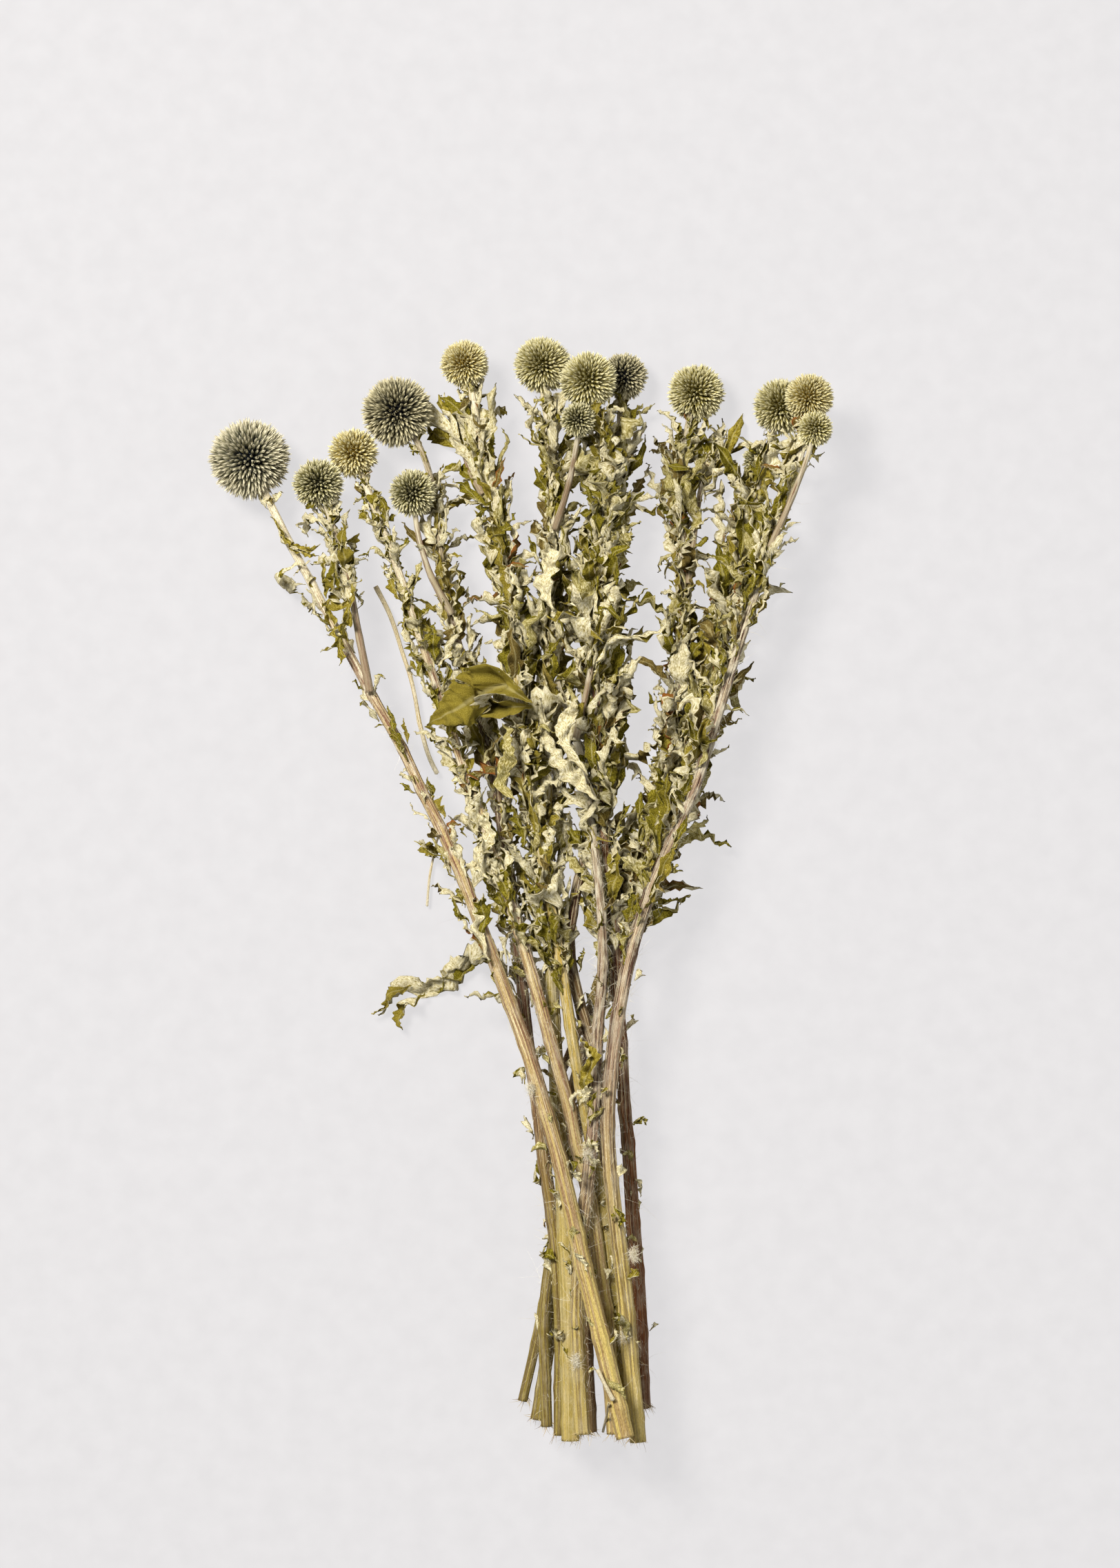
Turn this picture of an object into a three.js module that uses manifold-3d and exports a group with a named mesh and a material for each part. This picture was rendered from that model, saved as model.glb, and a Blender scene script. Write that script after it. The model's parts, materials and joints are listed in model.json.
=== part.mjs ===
// A bunch of dried globe thistles, cut and laid down.
//
// The bunch lies on a table: its cut feet point to -Y, its globes to +Y, +X is to the right and +Z is up,
// off the table. Its origin is on the table, below the middle of the whole bunch. Nothing ties it. Each
// stem was laid on those before it, and a straight, stiff stem comes to rest on two of the things below
// it.
//
// Sub-parts: 12 main stems, 7 side stems, 15 globes, 3 buds, and 22 tufts of crumpled leaves.
// All sizes are in millimetres.

import * as THREE from "three";
import { mergeVertices } from "three/addons/utils/BufferGeometryUtils.js";
import Module from "manifold-3d";

const wasm = await Module();
wasm.setup();

// --- Driving dimensions ----------------------------------------------------------------------------------

const BUNCH_LENGTH = 600; // feet to the top of the highest globe
const BUNCH_SPREAD = 338; // across the fan of globes
const FOOT_DIAMETER = 9.6; // of the stoutest stem, where it was cut
const NECK_DIAMETER = 4.4; // of the same stem, below its globe
const SIDE_FOOT_DIAMETER = 4.2; // of a side stem, where it leaves its main stem
const SIDE_NECK_DIAMETER = 2.8;
const GLOBE = { giant: 44, large: 39, full: 32, small: 27, young: 20, bud: 14 }; // across the tips of the florets
const CLEARANCE = 0.5; // between any two pieces
const LEAF = { length: 44, width: 13, thickness: 1.0 }; // a full-grown leaf, dried and folded along its midrib
const TUFT_PAD_DIAMETER = 4.4; // the clasping base that a tuft's leaves share
const GREAT_LEAF_SCALE = 1.5; // the two largest leaves against a full-grown one
const LEAF_GAP = 0.35; // between a leaf and the nearest other piece

// How finely the solids are cut.
const STEM_SIDES = 8;
const SIDE_STEM_SIDES = 6;
const STEM_STEP = 33; // between the rings of a stem
const BALL_STEP = 2; // between the balls that stand for a stem while it is laid
const GLOBE_DETAIL = { giant: 3, large: 3, full: 2, small: 2, young: 2, bud: 1 }; // cuts of an icosahedron
const LEAF_STATIONS = 5;
const TIDY = 0.04; // the shortest edge left where leaves join

// --- Where everything lies, seen from above --------------------------------------------------------------
//
// Across the bunch, 1 is the right edge of the fan and -1 the left. Along it, 0 is the lowest foot and 1
// is the top. A stem's places are where it crosses these stations, from its foot up. They are in the order
// of laying.

const STATIONS = [0, 0.15, 0.3, 0.45, 0.6, 0.75, 0.87];

const MAIN_STEMS = [
  {
    name: "m",
    girth: 0.55,
    foot: 0.028,
    across: [0.013, 0.097, 0.108, 0.328, 0.511, 0.643],
    head: [0.775, 0.885],
    globe: "young",
  },
  {
    name: "k",
    girth: 0.72,
    foot: 0.012,
    across: [0.053, 0.13, 0.159, 0.346, 0.544, 0.681, 0.775],
    head: [0.841, 0.932],
    globe: "full",
  },
  {
    name: "j",
    girth: 0.68,
    foot: 0.009,
    across: [0.088, 0.09, 0.209, 0.308, 0.474, 0.522, 0.511],
    head: [0.568, 0.946],
    globe: "full",
  },
  {
    name: "i",
    girth: 0.8,
    foot: 0.007,
    across: [0.227, 0.214, 0.262, 0.161, 0.28, 0.289, 0.317],
    head: [0.335, 0.961],
    globe: "small",
  },
  {
    name: "d",
    girth: 0.78,
    foot: 0.003,
    across: [0.13, 0.123, 0.053, -0.009, -0.084, -0.225, -0.29],
    head: [-0.394, 0.928],
    globe: "large",
  },
  {
    name: "g",
    girth: 1,
    foot: 0,
    across: [0.167, 0.156, 0.121, 0.097, 0.084, 0.097, 0.11],
    head: [0.073, 0.971],
    globe: "full",
  },
  {
    name: "h",
    girth: 0.88,
    foot: 0.025,
    across: [0.403, 0.374, 0.335, 0.302, 0.253, 0.238, 0.28],
    head: [0.22, 0.954],
    globe: "full",
  },
  {
    name: "f",
    girth: 0.82,
    foot: 0.009,
    across: [0.355, 0.295, 0.205, 0.117, 0.02, -0.024, -0.108],
    head: [-0.176, 0.97],
    globe: "small",
  },
  {
    name: "c",
    girth: 0.85,
    foot: 0.009,
    across: [0.308, 0.262, 0.152, 0.007, -0.172, -0.348],
    head: [-0.533, 0.89],
    globe: "small",
  },
  {
    name: "p",
    girth: 0.92,
    foot: 0.012,
    across: [0.203, 0.187, 0.236, 0.262, 0.209],
    end: [0.115, 0.682],
  },
  {
    name: "l",
    girth: 0.95,
    foot: 0.003,
    across: [0.377, 0.33, 0.284, 0.37, 0.57, 0.736, 0.879],
    head: [0.923, 0.937],
    globe: "small",
  },
  {
    name: "a",
    girth: 1,
    foot: 0.011,
    across: [0.333, 0.216, 0.084, -0.104, -0.333, -0.626],
    head: [-0.868, 0.885],
    globe: "giant",
  },
];

// A side stem leaves its main stem at a place along the bunch and passes through one point on the way to
// its head.
const SIDE_STEMS = [
  { name: "e", on: "d", from: 0.742, via: [-0.315, 0.8], head: [-0.341, 0.853], globe: "small" },
  { name: "b", on: "a", from: 0.672, via: [-0.553, 0.779], head: [-0.643, 0.861], globe: "small" },
  { name: "n", on: "j", from: 0.77, via: [0.575, 0.84], head: [0.601, 0.886], globe: "bud" },
  { name: "o", on: "f", from: 0.85, via: [-0.175, 0.885], head: [-0.198, 0.913], globe: "bud" },
  { name: "q", on: "l", from: 0.8, via: [0.9, 0.87], head: [0.936, 0.907], globe: "young" },
  { name: "r", on: "g", from: 0.82, via: [0.16, 0.87], head: [0.187, 0.917], globe: "young" },
  { name: "s", on: "p", from: 0.63, via: [0.225, 0.69], head: [0.244, 0.727], globe: "bud" },
];

// Tufts of leaves: the stem each grows on, its place along the bunch, the way it faces round the stem and
// how far its leaves lean out from the stem, both in degrees, and how many leaves it has. It faces right
// at 0 and up at 90. A leaf that dried twisted is rolled about its own length, by as many degrees as roll
// says.
const TUFTS = [
  { on: "a", along: 0.44, faces: 180, lean: 110, roll: 90, leaves: 1, scale: GREAT_LEAF_SCALE },
  { on: "c", along: 0.62, faces: 25, lean: 60, roll: 75, leaves: 1, scale: GREAT_LEAF_SCALE },
  { on: "a", along: 0.845, faces: 60, lean: 25, leaves: 2 },
  { on: "a", along: 0.715, faces: 20, lean: 30, leaves: 3 },
  { on: "b", along: 0.8, faces: 100, lean: 30, leaves: 2 },
  { on: "c", along: 0.79, faces: 150, lean: 30, leaves: 3 },
  { on: "d", along: 0.76, faces: 20, lean: 30, leaves: 3 },
  { on: "d", along: 0.56, faces: 190, lean: 50, leaves: 2 },
  { on: "f", along: 0.86, faces: 110, lean: 25, leaves: 3 },
  { on: "f", along: 0.69, faces: 150, lean: 30, leaves: 3 },
  { on: "f", along: 0.52, faces: 60, lean: 30, leaves: 3 },
  { on: "g", along: 0.86, faces: 80, lean: 25, leaves: 3 },
  { on: "g", along: 0.7, faces: 110, lean: 30, leaves: 3 },
  { on: "h", along: 0.86, faces: 30, lean: 25, leaves: 3 },
  { on: "h", along: 0.7, faces: 70, lean: 30, leaves: 3 },
  { on: "i", along: 0.78, faces: 320, lean: 30, leaves: 3 },
  { on: "j", along: 0.86, faces: 130, lean: 25, leaves: 3 },
  { on: "j", along: 0.68, faces: 200, lean: 30, leaves: 3 },
  { on: "k", along: 0.78, faces: 300, lean: 30, leaves: 3 },
  { on: "l", along: 0.83, faces: 20, lean: 30, leaves: 3 },
  { on: "l", along: 0.66, faces: 150, lean: 35, leaves: 3 },
  { on: "m", along: 0.8, faces: 190, lean: 30, leaves: 2 },
];

// --- Laying the stems ------------------------------------------------------------------------------------

const degrees = THREE.MathUtils.degToRad;
const DEPARTURES = [0, 30, 60, 90, 120, 150, 180]; // degrees round a main stem where a side stem could leave it

const placeOfBall = ({ x, y, z }) => new THREE.Vector3(x, y, z);
const placeOf = ([across, along]) => new THREE.Vector2((across * BUNCH_SPREAD) / 2, along * BUNCH_LENGTH);

// A stem keeps its girth up to a third of its length and then tapers to the neck. share runs from 0 to 1.
function taper(share, foot, neck) {
  return THREE.MathUtils.lerp(foot, neck, THREE.MathUtils.smoothstep(share, 0.3, 1)) / 2;
}

// Balls along a route seen from above, a step apart: where each is, how far along, and how thick the stem
// is there.
function ballsAlong(route, foot, neck) {
  const curve = new THREE.SplineCurve(route);
  const length = curve.getLength();
  const count = Math.ceil(length / BALL_STEP);
  return curve
    .getSpacedPoints(count)
    .map((at, i) => ({ x: at.x, y: at.y, along: (i * length) / count, r: taper(i / count, foot, neck) }));
}

const laid = []; // the balls of everything on the table so far

// The lowest that a ball can lie at x, y: on the table, or on the balls laid before it.
function restHeight({ x, y, r }) {
  let z = r;
  for (const ball of laid) {
    const reach = ball.r + r + CLEARANCE;
    const apart = (ball.x - x) ** 2 + (ball.y - y) ** 2;
    if (apart < reach * reach) z = Math.max(z, ball.z + Math.sqrt(reach * reach - apart));
  }
  return z;
}

// A stiff stem rests on the two supports on either side of its middle of mass. They are neighbours on the
// upper hull of the heights that its balls could each sink to.
function restLine(balls) {
  const middle = balls.at(-1).along * 0.48;
  const hull = [];
  for (const ball of balls) {
    const next = { s: ball.along, z: restHeight(ball) };
    while (hull.length > 1) {
      const [a, b] = hull.slice(-2);
      if ((b.z - a.z) * (next.s - a.s) > (next.z - a.z) * (b.s - a.s)) break;
      hull.pop();
    }
    hull.push(next);
  }
  const after = Math.max(1, hull.findIndex((point) => point.s >= middle));
  const [a, b] = [hull[after - 1], hull[after]];
  return (s) => a.z + ((b.z - a.z) * (s - a.s)) / (b.s - a.s);
}

function lay(balls, height) {
  for (const ball of balls) ball.z = height(ball.along);
}

// The balls of a stem that ends just short of the globe it carries.
function trimmed(balls, globe) {
  const middle = placeOfBall(globe);
  const stop = globe.r + CLEARANCE;
  const kept = balls.filter((ball) => middle.distanceTo(ball) > stop);
  const last = kept.at(-1);
  const way = placeOfBall(last).sub(middle);
  const end = middle.clone().addScaledVector(way, stop / way.length());
  return [...kept, { ...last, x: end.x, y: end.y, z: end.z }];
}

// --- Solids ----------------------------------------------------------------------------------------------

// Moves each point of a closed cylinder of unit radius and height to its place along a spine.
function bend(sides, steps, place) {
  const geometry = new THREE.CylinderGeometry(1, 1, 1, sides, steps);
  const position = geometry.getAttribute("position");
  const point = new THREE.Vector3();
  for (let i = 0; i < position.count; i++) {
    point.fromBufferAttribute(position, i);
    const share = point.y + 0.5;
    position.setXYZ(i, ...place(share, point.x, point.z).toArray());
  }
  return geometry;
}

function solidOf(geometry) {
  const bare = geometry.clone();
  for (const name of ["normal", "uv"]) bare.deleteAttribute(name);
  const merged = mergeVertices(bare, 1e-3);
  return new wasm.Manifold(
    new wasm.Mesh({
      numProp: 3,
      vertProperties: merged.getAttribute("position").array,
      triVerts: new Uint32Array(merged.index.array),
    }),
  );
}

function geometryOf(solid) {
  const mesh = solid.getMesh();
  const geometry = new THREE.BufferGeometry();
  geometry.setAttribute("position", new THREE.BufferAttribute(mesh.vertProperties, 3));
  geometry.setIndex(new THREE.BufferAttribute(mesh.triVerts, 1));
  return geometry;
}

const UP = new THREE.Vector3(0, 0, 1);

// The right and the over of a spine that never stands upright.
function across(tangent) {
  const right = new THREE.Vector3().crossVectors(tangent, UP).normalize();
  const over = new THREE.Vector3().crossVectors(right, tangent);
  return { right, over };
}

function stemGeometry(balls, sides) {
  const spine = new THREE.CatmullRomCurve3(balls.map(placeOfBall));
  const steps = Math.max(2, Math.round(spine.getLength() / STEM_STEP));
  return bend(sides, steps, (share, x, z) => {
    const { right, over } = across(spine.getTangentAt(share));
    const radius = balls[Math.round(share * (balls.length - 1))].r;
    return spine.getPointAt(share).addScaledVector(right, x * radius).addScaledVector(over, z * radius);
  });
}

// A globe is the ball that the tips of its florets reach.
function globeGeometry(kind) {
  return new THREE.IcosahedronGeometry(GLOBE[kind] / 2, GLOBE_DETAIL[kind]);
}

// A dried leaf: long and narrow, folded up along its midrib, leaving the stem and bending over to its tip.
function leafGeometry(base, leave, arrive, side, scale) {
  const length = LEAF.length * scale;
  const middle = base.clone().addScaledVector(leave, length / 2);
  const tip = middle.clone().addScaledVector(arrive, length / 2);
  const spine = new THREE.QuadraticBezierCurve3(base, middle, tip);
  return bend(4, LEAF_STATIONS, (share, x, z) => {
    const tangent = spine.getTangent(share);
    const right = side.clone().addScaledVector(tangent, -side.dot(tangent)).normalize();
    const over = new THREE.Vector3().crossVectors(right, tangent);
    const halfWidth = 0.3 + ((LEAF.width * scale) / 2) * Math.sin(Math.PI * (0.12 + 0.86 * share)) ** 1.3;
    const halfThick = LEAF.thickness / 2;
    const fold = Math.abs(x) * halfWidth * 0.45;
    return spine.getPoint(share).addScaledVector(right, x * halfWidth).addScaledVector(over, fold + z * halfThick);
  });
}

// --- Building the bunch ----------------------------------------------------------------------------------

const bunch = new THREE.Group();
const stems = {}; // each stem's balls, by name
const solids = []; // every solid so far, which the leaves have to miss

const bark = new THREE.MeshStandardMaterial({ color: 0x9a8450, roughness: 0.85, metalness: 0 });
const paleBark = new THREE.MeshStandardMaterial({ color: 0xbdb49a, roughness: 0.9, metalness: 0 });
const steelFlorets = new THREE.MeshStandardMaterial({ color: 0x74796a, roughness: 0.9, metalness: 0 });
const strawFlorets = new THREE.MeshStandardMaterial({ color: 0xb4ad78, roughness: 0.9, metalness: 0 });
const leafGreen = new THREE.MeshStandardMaterial({ color: 0x83803f, roughness: 0.9, metalness: 0 });

function add(name, geometry, material) {
  const mesh = new THREE.Mesh(geometry, material);
  mesh.name = name;
  bunch.add(mesh);
  solids.push(solidOf(geometry));
}

const STEEL_GLOBES = ["giant", "large"];

function addStem(spec, route, foot, neck, sides, height) {
  const side = sides === SIDE_STEM_SIDES;
  const balls = ballsAlong(route, foot, neck);
  if (spec.globe) balls.at(-1).r = GLOBE[spec.globe] / 2;
  lay(balls, height(balls));
  const globe = balls.at(-1);
  stems[spec.name] = spec.globe ? trimmed(balls.slice(0, -1), globe) : balls;
  laid.push(...stems[spec.name]);
  add((side ? "side_stem_" : "stem_") + spec.name, stemGeometry(stems[spec.name], sides), side ? paleBark : bark);
  if (!spec.globe) return;
  laid.push(globe);
  const florets = STEEL_GLOBES.includes(spec.globe) ? steelFlorets : strawFlorets;
  const kind = spec.globe === "bud" ? "bud_" : "globe_";
  add(kind + spec.name, globeGeometry(spec.globe).translate(globe.x, globe.y, globe.z), florets);
}

for (const spec of MAIN_STEMS) {
  const places = spec.across.map((share, i) => [share, i === 0 ? spec.foot : STATIONS[i]]);
  const route = [...places, spec.head ?? spec.end].map(placeOf);
  const foot = FOOT_DIAMETER * spec.girth;
  const neck = NECK_DIAMETER * spec.girth;
  addStem(spec, route, foot, neck, STEM_SIDES, restLine);
}

// The ways a side stem could leave its main stem: from the side it heads for, over the top, to the far
// side. Each start has to be clear of what is laid, and the stem then rises only as much as it must to
// clear what is below.
function* departuresOf(spec) {
  const main = stems[spec.on];
  const at = main.findIndex((ball) => ball.y >= spec.from * BUNCH_LENGTH);
  const here = placeOfBall(main[at]);
  const head = placeOf(spec.head);
  const { right, over } = across(placeOfBall(main[at + 1]).sub(here).normalize());
  const towards = Math.sign(right.x * (head.x - here.x) + right.y * (head.y - here.y));
  const off = main[at].r + SIDE_FOOT_DIAMETER / 2 + CLEARANCE;
  for (const angle of DEPARTURES) {
    const out = right.clone().multiplyScalar(towards * Math.cos(degrees(angle)));
    const start = here.clone().addScaledVector(out, off).addScaledVector(over, off * Math.sin(degrees(angle)));
    const reach = SIDE_FOOT_DIAMETER / 2 + CLEARANCE / 2;
    if (laid.some((ball) => start.distanceTo(ball) < ball.r + reach)) continue;
    const route = [new THREE.Vector2(start.x, start.y), placeOf(spec.via), head];
    const balls = ballsAlong(route, SIDE_FOOT_DIAMETER, SIDE_NECK_DIAMETER);
    balls.at(-1).r = GLOBE[spec.globe] / 2;
    const slope = Math.max(...balls.slice(1).map((ball) => (restHeight(ball) - start.z) / ball.along));
    yield { route, slope, height: (s) => start.z + slope * s };
  }
}

for (const spec of SIDE_STEMS) {
  const { route, height } = [...departuresOf(spec)].reduce((a, b) => (b.slope < a.slope ? b : a));
  addStem(spec, route, SIDE_FOOT_DIAMETER, SIDE_NECK_DIAMETER, SIDE_STEM_SIDES, () => height);
}

// --- Leaves ----------------------------------------------------------------------------------------------
//
// A tuft grows where there is room for its base, near its place. A leaf turns round its stem, and dries
// shorter, until it lies clear of everything else.

const SHIFTS = [0, 8, -8, 16, -16, 24, -24, 40, -40]; // along the stem
const TURNS = [0, 20, -20, 40, -40, 60, -60, 85, -85, 110, -110, 140, -140, 180]; // degrees round the stem
const SHRINKS = [1, 0.8, 0.62, 0.45, 0.3];
const LEANS = [0, 12, -12, 24]; // degrees
const LEAF_SPREAD = 42; // degrees round the stem from a leaf of a tuft to the next
const LEAF_CURLS = [38, -22, 55, 16]; // degrees that a leaf bends over by its tip, in turn

function isClear(solid) {
  const box = solid.boundingBox();
  if (box.min[2] < 0) return false;
  for (const other of solids) {
    const { min, max } = other.boundingBox();
    const apart = [0, 1, 2].some((k) => box.min[k] - max[k] > LEAF_GAP || min[k] - box.max[k] > LEAF_GAP);
    if (apart) continue;
    if (solid.minGap(other, 2 * LEAF_GAP) < LEAF_GAP) return false;
    if (solid.intersect(other).volume() > 0) return false;
  }
  return true;
}

// Leaves that cross each other could close off a pocket of air between them, so a tuft has to stay a
// single shell.
function joined(leaf, tuft) {
  const whole = tuft.add(leaf).simplify(TIDY);
  return whole.decompose().length === 1 ? whole : null;
}

function outwards({ right, over }, angle) {
  return right.clone().multiplyScalar(Math.cos(degrees(angle))).addScaledVector(over, Math.sin(degrees(angle)));
}

function leaning(tangent, out, angle) {
  return tangent.clone().multiplyScalar(Math.cos(degrees(angle))).addScaledVector(out, Math.sin(degrees(angle)));
}

// The places round and along its stem where a tuft could sit, the wanted one first.
function* seatsOf(tuft) {
  const balls = stems[tuft.on];
  const wanted = balls.findIndex((ball) => ball.y >= tuft.along * BUNCH_LENGTH);
  for (const shift of SHIFTS) {
    const at = THREE.MathUtils.clamp(wanted + shift / BALL_STEP, 0, balls.length - 2);
    const here = placeOfBall(balls[at]);
    const tangent = placeOfBall(balls[at + 1]).sub(here).normalize();
    const frame = across(tangent);
    for (const turn of TURNS) {
      const facing = tuft.faces + turn;
      const reach = balls[at].r + LEAF_GAP * 1.5 + TUFT_PAD_DIAMETER / 2;
      yield { tangent, frame, facing, at: here.clone().addScaledVector(outwards(frame, facing), reach) };
    }
  }
}

// A tuft with one more leaf, at an angle round the stem and with a curl, or nothing when no way of growing
// is clear.
function withLeaf(whole, tuft, seat, angle, curl) {
  for (const shrink of SHRINKS) {
    for (const turn of TURNS) {
      const out = outwards(seat.frame, angle + turn);
      const side = new THREE.Vector3().crossVectors(out, seat.tangent);
      for (const more of LEANS) {
        const leave = leaning(seat.tangent, out, tuft.lean + more);
        const rolled = side.clone().applyAxisAngle(leave, degrees(tuft.roll ?? 0));
        const arrive = leaning(seat.tangent, out, tuft.lean + more + curl);
        const base = seat.at.clone().addScaledVector(leave, TUFT_PAD_DIAMETER * 0.15);
        const leaf = solidOf(leafGeometry(base, leave, arrive, rolled, (tuft.scale ?? 1) * shrink));
        const grown = isClear(leaf) ? joined(leaf, whole) : null;
        if (grown) return grown;
      }
    }
  }
  return null;
}

function tuftAt(seat, tuft) {
  const pad = new THREE.IcosahedronGeometry(TUFT_PAD_DIAMETER / 2, 0).translate(...seat.at.toArray());
  let whole = solidOf(pad);
  if (!isClear(whole)) return null;
  for (let leaf = 0; leaf < tuft.leaves && whole; leaf++) {
    const angle = seat.facing + (leaf - (tuft.leaves - 1) / 2) * LEAF_SPREAD;
    whole = withLeaf(whole, tuft, seat, angle, LEAF_CURLS[(leaf + bunch.children.length) % LEAF_CURLS.length]);
  }
  return whole;
}

const counts = {};

for (const tuft of TUFTS) {
  let whole = null;
  for (const seat of seatsOf(tuft)) {
    whole = tuftAt(seat, tuft);
    if (whole) break;
  }
  counts[tuft.on] = (counts[tuft.on] ?? 0) + 1;
  add(`leaves_${tuft.on}${counts[tuft.on]}`, geometryOf(whole), leafGreen);
}

// The origin is on the table, below the middle of the bunch.
const box = new THREE.Box3().setFromObject(bunch);
const centre = box.getCenter(new THREE.Vector3());
bunch.position.set(-centre.x, -centre.y, -box.min.z);

export default bunch;
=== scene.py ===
# %% [markdown]
# # A bunch of dried globe thistles
#
# Twelve long stems were cut, dried and laid down in a loose bunch. Their feet cross at the bottom, and
# their round, spiny flower heads fan out at the top. The solids of the model give the place and the size
# of every stem, head and tuft of leaves. This lesson grows the real surfaces over them: ribbed bark,
# florets, crumpled leaves and the fine wool that covers the plant.

# %% Load the solids
import json
import bpy
import numpy as np
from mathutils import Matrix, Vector

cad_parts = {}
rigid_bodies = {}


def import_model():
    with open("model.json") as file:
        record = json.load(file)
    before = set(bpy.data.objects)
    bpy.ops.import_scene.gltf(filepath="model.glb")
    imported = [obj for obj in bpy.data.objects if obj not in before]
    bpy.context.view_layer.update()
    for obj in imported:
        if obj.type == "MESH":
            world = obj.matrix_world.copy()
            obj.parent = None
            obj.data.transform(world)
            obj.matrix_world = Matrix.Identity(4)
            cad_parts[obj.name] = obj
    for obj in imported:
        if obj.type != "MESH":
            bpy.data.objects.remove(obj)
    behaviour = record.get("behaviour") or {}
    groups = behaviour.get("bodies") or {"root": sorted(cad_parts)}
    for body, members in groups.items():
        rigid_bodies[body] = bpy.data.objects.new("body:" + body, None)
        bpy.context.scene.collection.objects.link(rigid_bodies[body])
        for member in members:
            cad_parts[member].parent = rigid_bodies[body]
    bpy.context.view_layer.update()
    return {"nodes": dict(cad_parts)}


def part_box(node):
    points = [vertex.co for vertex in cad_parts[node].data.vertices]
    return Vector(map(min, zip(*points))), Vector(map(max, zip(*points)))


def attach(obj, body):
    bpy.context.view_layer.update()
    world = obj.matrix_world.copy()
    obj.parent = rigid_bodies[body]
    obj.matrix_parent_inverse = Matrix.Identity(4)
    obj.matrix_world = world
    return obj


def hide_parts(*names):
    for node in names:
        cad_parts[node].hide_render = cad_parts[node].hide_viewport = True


for left_over in list(bpy.data.objects):
    bpy.data.objects.remove(left_over)

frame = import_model()
nodes = frame["nodes"]
MM = 0.001

# %% [markdown]
# ## The table, the light and the camera
#
# The bunch lies down, so the camera hangs over it and looks straight down on it. A long lens from far
# away keeps the stems from leaning outwards. The table is a plain pale sheet. A broad lamp from the upper
# left gives the soft light of a studio, and the pale sky fills the shadows between the leaves.

# %% Camera
VIEW_CENTRE = Vector((15.1 * MM, 55.5 * MM, 0))
VIEW_LENGTH = 846 * MM  # what the long side of the view covers, at the height of the bunch
EYE_HEIGHT = 2.6
BUNCH_MIDDLE = 0.04

lens = bpy.data.cameras.new("camera")
lens.sensor_width = 36
lens.lens = 36 * EYE_HEIGHT / VIEW_LENGTH
camera = bpy.data.objects.new("camera", lens)
camera.location = VIEW_CENTRE + Vector((0, 0, EYE_HEIGHT + BUNCH_MIDDLE))
bpy.context.collection.objects.link(camera)
bpy.context.scene.camera = camera
bpy.context.scene.view_settings.view_transform = "Standard"
print("lens", round(lens.lens, 1), "mm")

# %% [markdown]
# ## Helpers for shaders
#
# Nothing on a dried plant has one flat colour, so every finish is a tree of shader nodes. Such a tree
# could be wired by hand in the shader editor. Written as code it can be read and made again, and these
# helpers keep each node to one line. Colours are written from 0 to 255, as a screen shows them, and
# turned into the linear numbers that shaders use.

# %% Helpers for shaders


def linear(red, green, blue):
    """A colour from 0 to 255, as a screen shows it, as the linear numbers that shaders add up."""
    channels = np.array([red, green, blue]) / 255
    return (*np.where(channels < 0.04045, channels / 12.92, ((channels + 0.055) / 1.055) ** 2.4), 1.0)


def node(tree, kind, settings=None, **inputs):
    """One shader node: settings are its own, inputs are values or links for its sockets."""
    made = tree.nodes.new(kind)
    for name, value in (settings or {}).items():
        setattr(made, name, value)
    for name, value in inputs.items():
        socket = made.inputs[int(name[1:]) if name[0] == "_" else name.replace("_", " ")]
        if isinstance(value, bpy.types.NodeSocket):
            tree.links.new(value, socket)
        else:
            socket.default_value = value
    return made


def new_material(name, roughness):
    """A material with its Principled shader, and the tree to add to."""
    material = bpy.data.materials.new(name)
    material.use_nodes = True
    shader = material.node_tree.nodes["Principled BSDF"]
    shader.inputs["Roughness"].default_value = roughness
    shader.inputs["Specular IOR Level"].default_value = 0.12
    return material, material.node_tree, shader


def ramp(tree, factor, *stops):
    """A colour ramp: stops are (position, colour)."""
    made = node(tree, "ShaderNodeValToRGB", Fac=factor)
    band = made.color_ramp
    while len(band.elements) < len(stops):
        band.elements.new(1)
    for element, (position, colour) in zip(band.elements, stops):
        element.position = position
        element.color = colour
    return made.outputs["Color"]


def mix(tree, factor, first, second, blend="MIX"):
    """Two colours mixed."""
    settings = {"data_type": "RGBA", "blend_type": blend}
    return node(tree, "ShaderNodeMix", settings, _0=factor, _6=first, _7=second).outputs[2]


def maths(tree, operation, *values):
    """A number worked out from others."""
    places = {f"_{place}": value for place, value in enumerate(values)}
    return node(tree, "ShaderNodeMath", {"operation": operation}, **places).outputs[0]


def between(tree, value, low, high, new_low=0.0, new_high=1.0):
    """A value from low to high moved to new_low to new_high, and held there."""
    made = node(tree, "ShaderNodeMapRange", {"clamp": True}, Value=value)
    for name, number in {"From Min": low, "From Max": high, "To Min": new_low, "To Max": new_high}.items():
        made.inputs[name].default_value = number
    return made.outputs[0]


def attribute(tree, name):
    """A number or a direction that the mesh carries at each of its points."""
    return node(tree, "ShaderNodeAttribute", {"attribute_name": name})


print("half grey as a linear number:", round(linear(128, 128, 128)[0], 3))

# %% [markdown]
# ## The table
#
# The table is a sheet of pale paper, far larger than the bunch. A real sheet under studio lamps could be
# lit until it burns out to near white, but then the bunch would burn out too. So the sheet is a darker
# paper that also glows a little by itself, and a fine speckle keeps it from being one flat colour.

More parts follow.
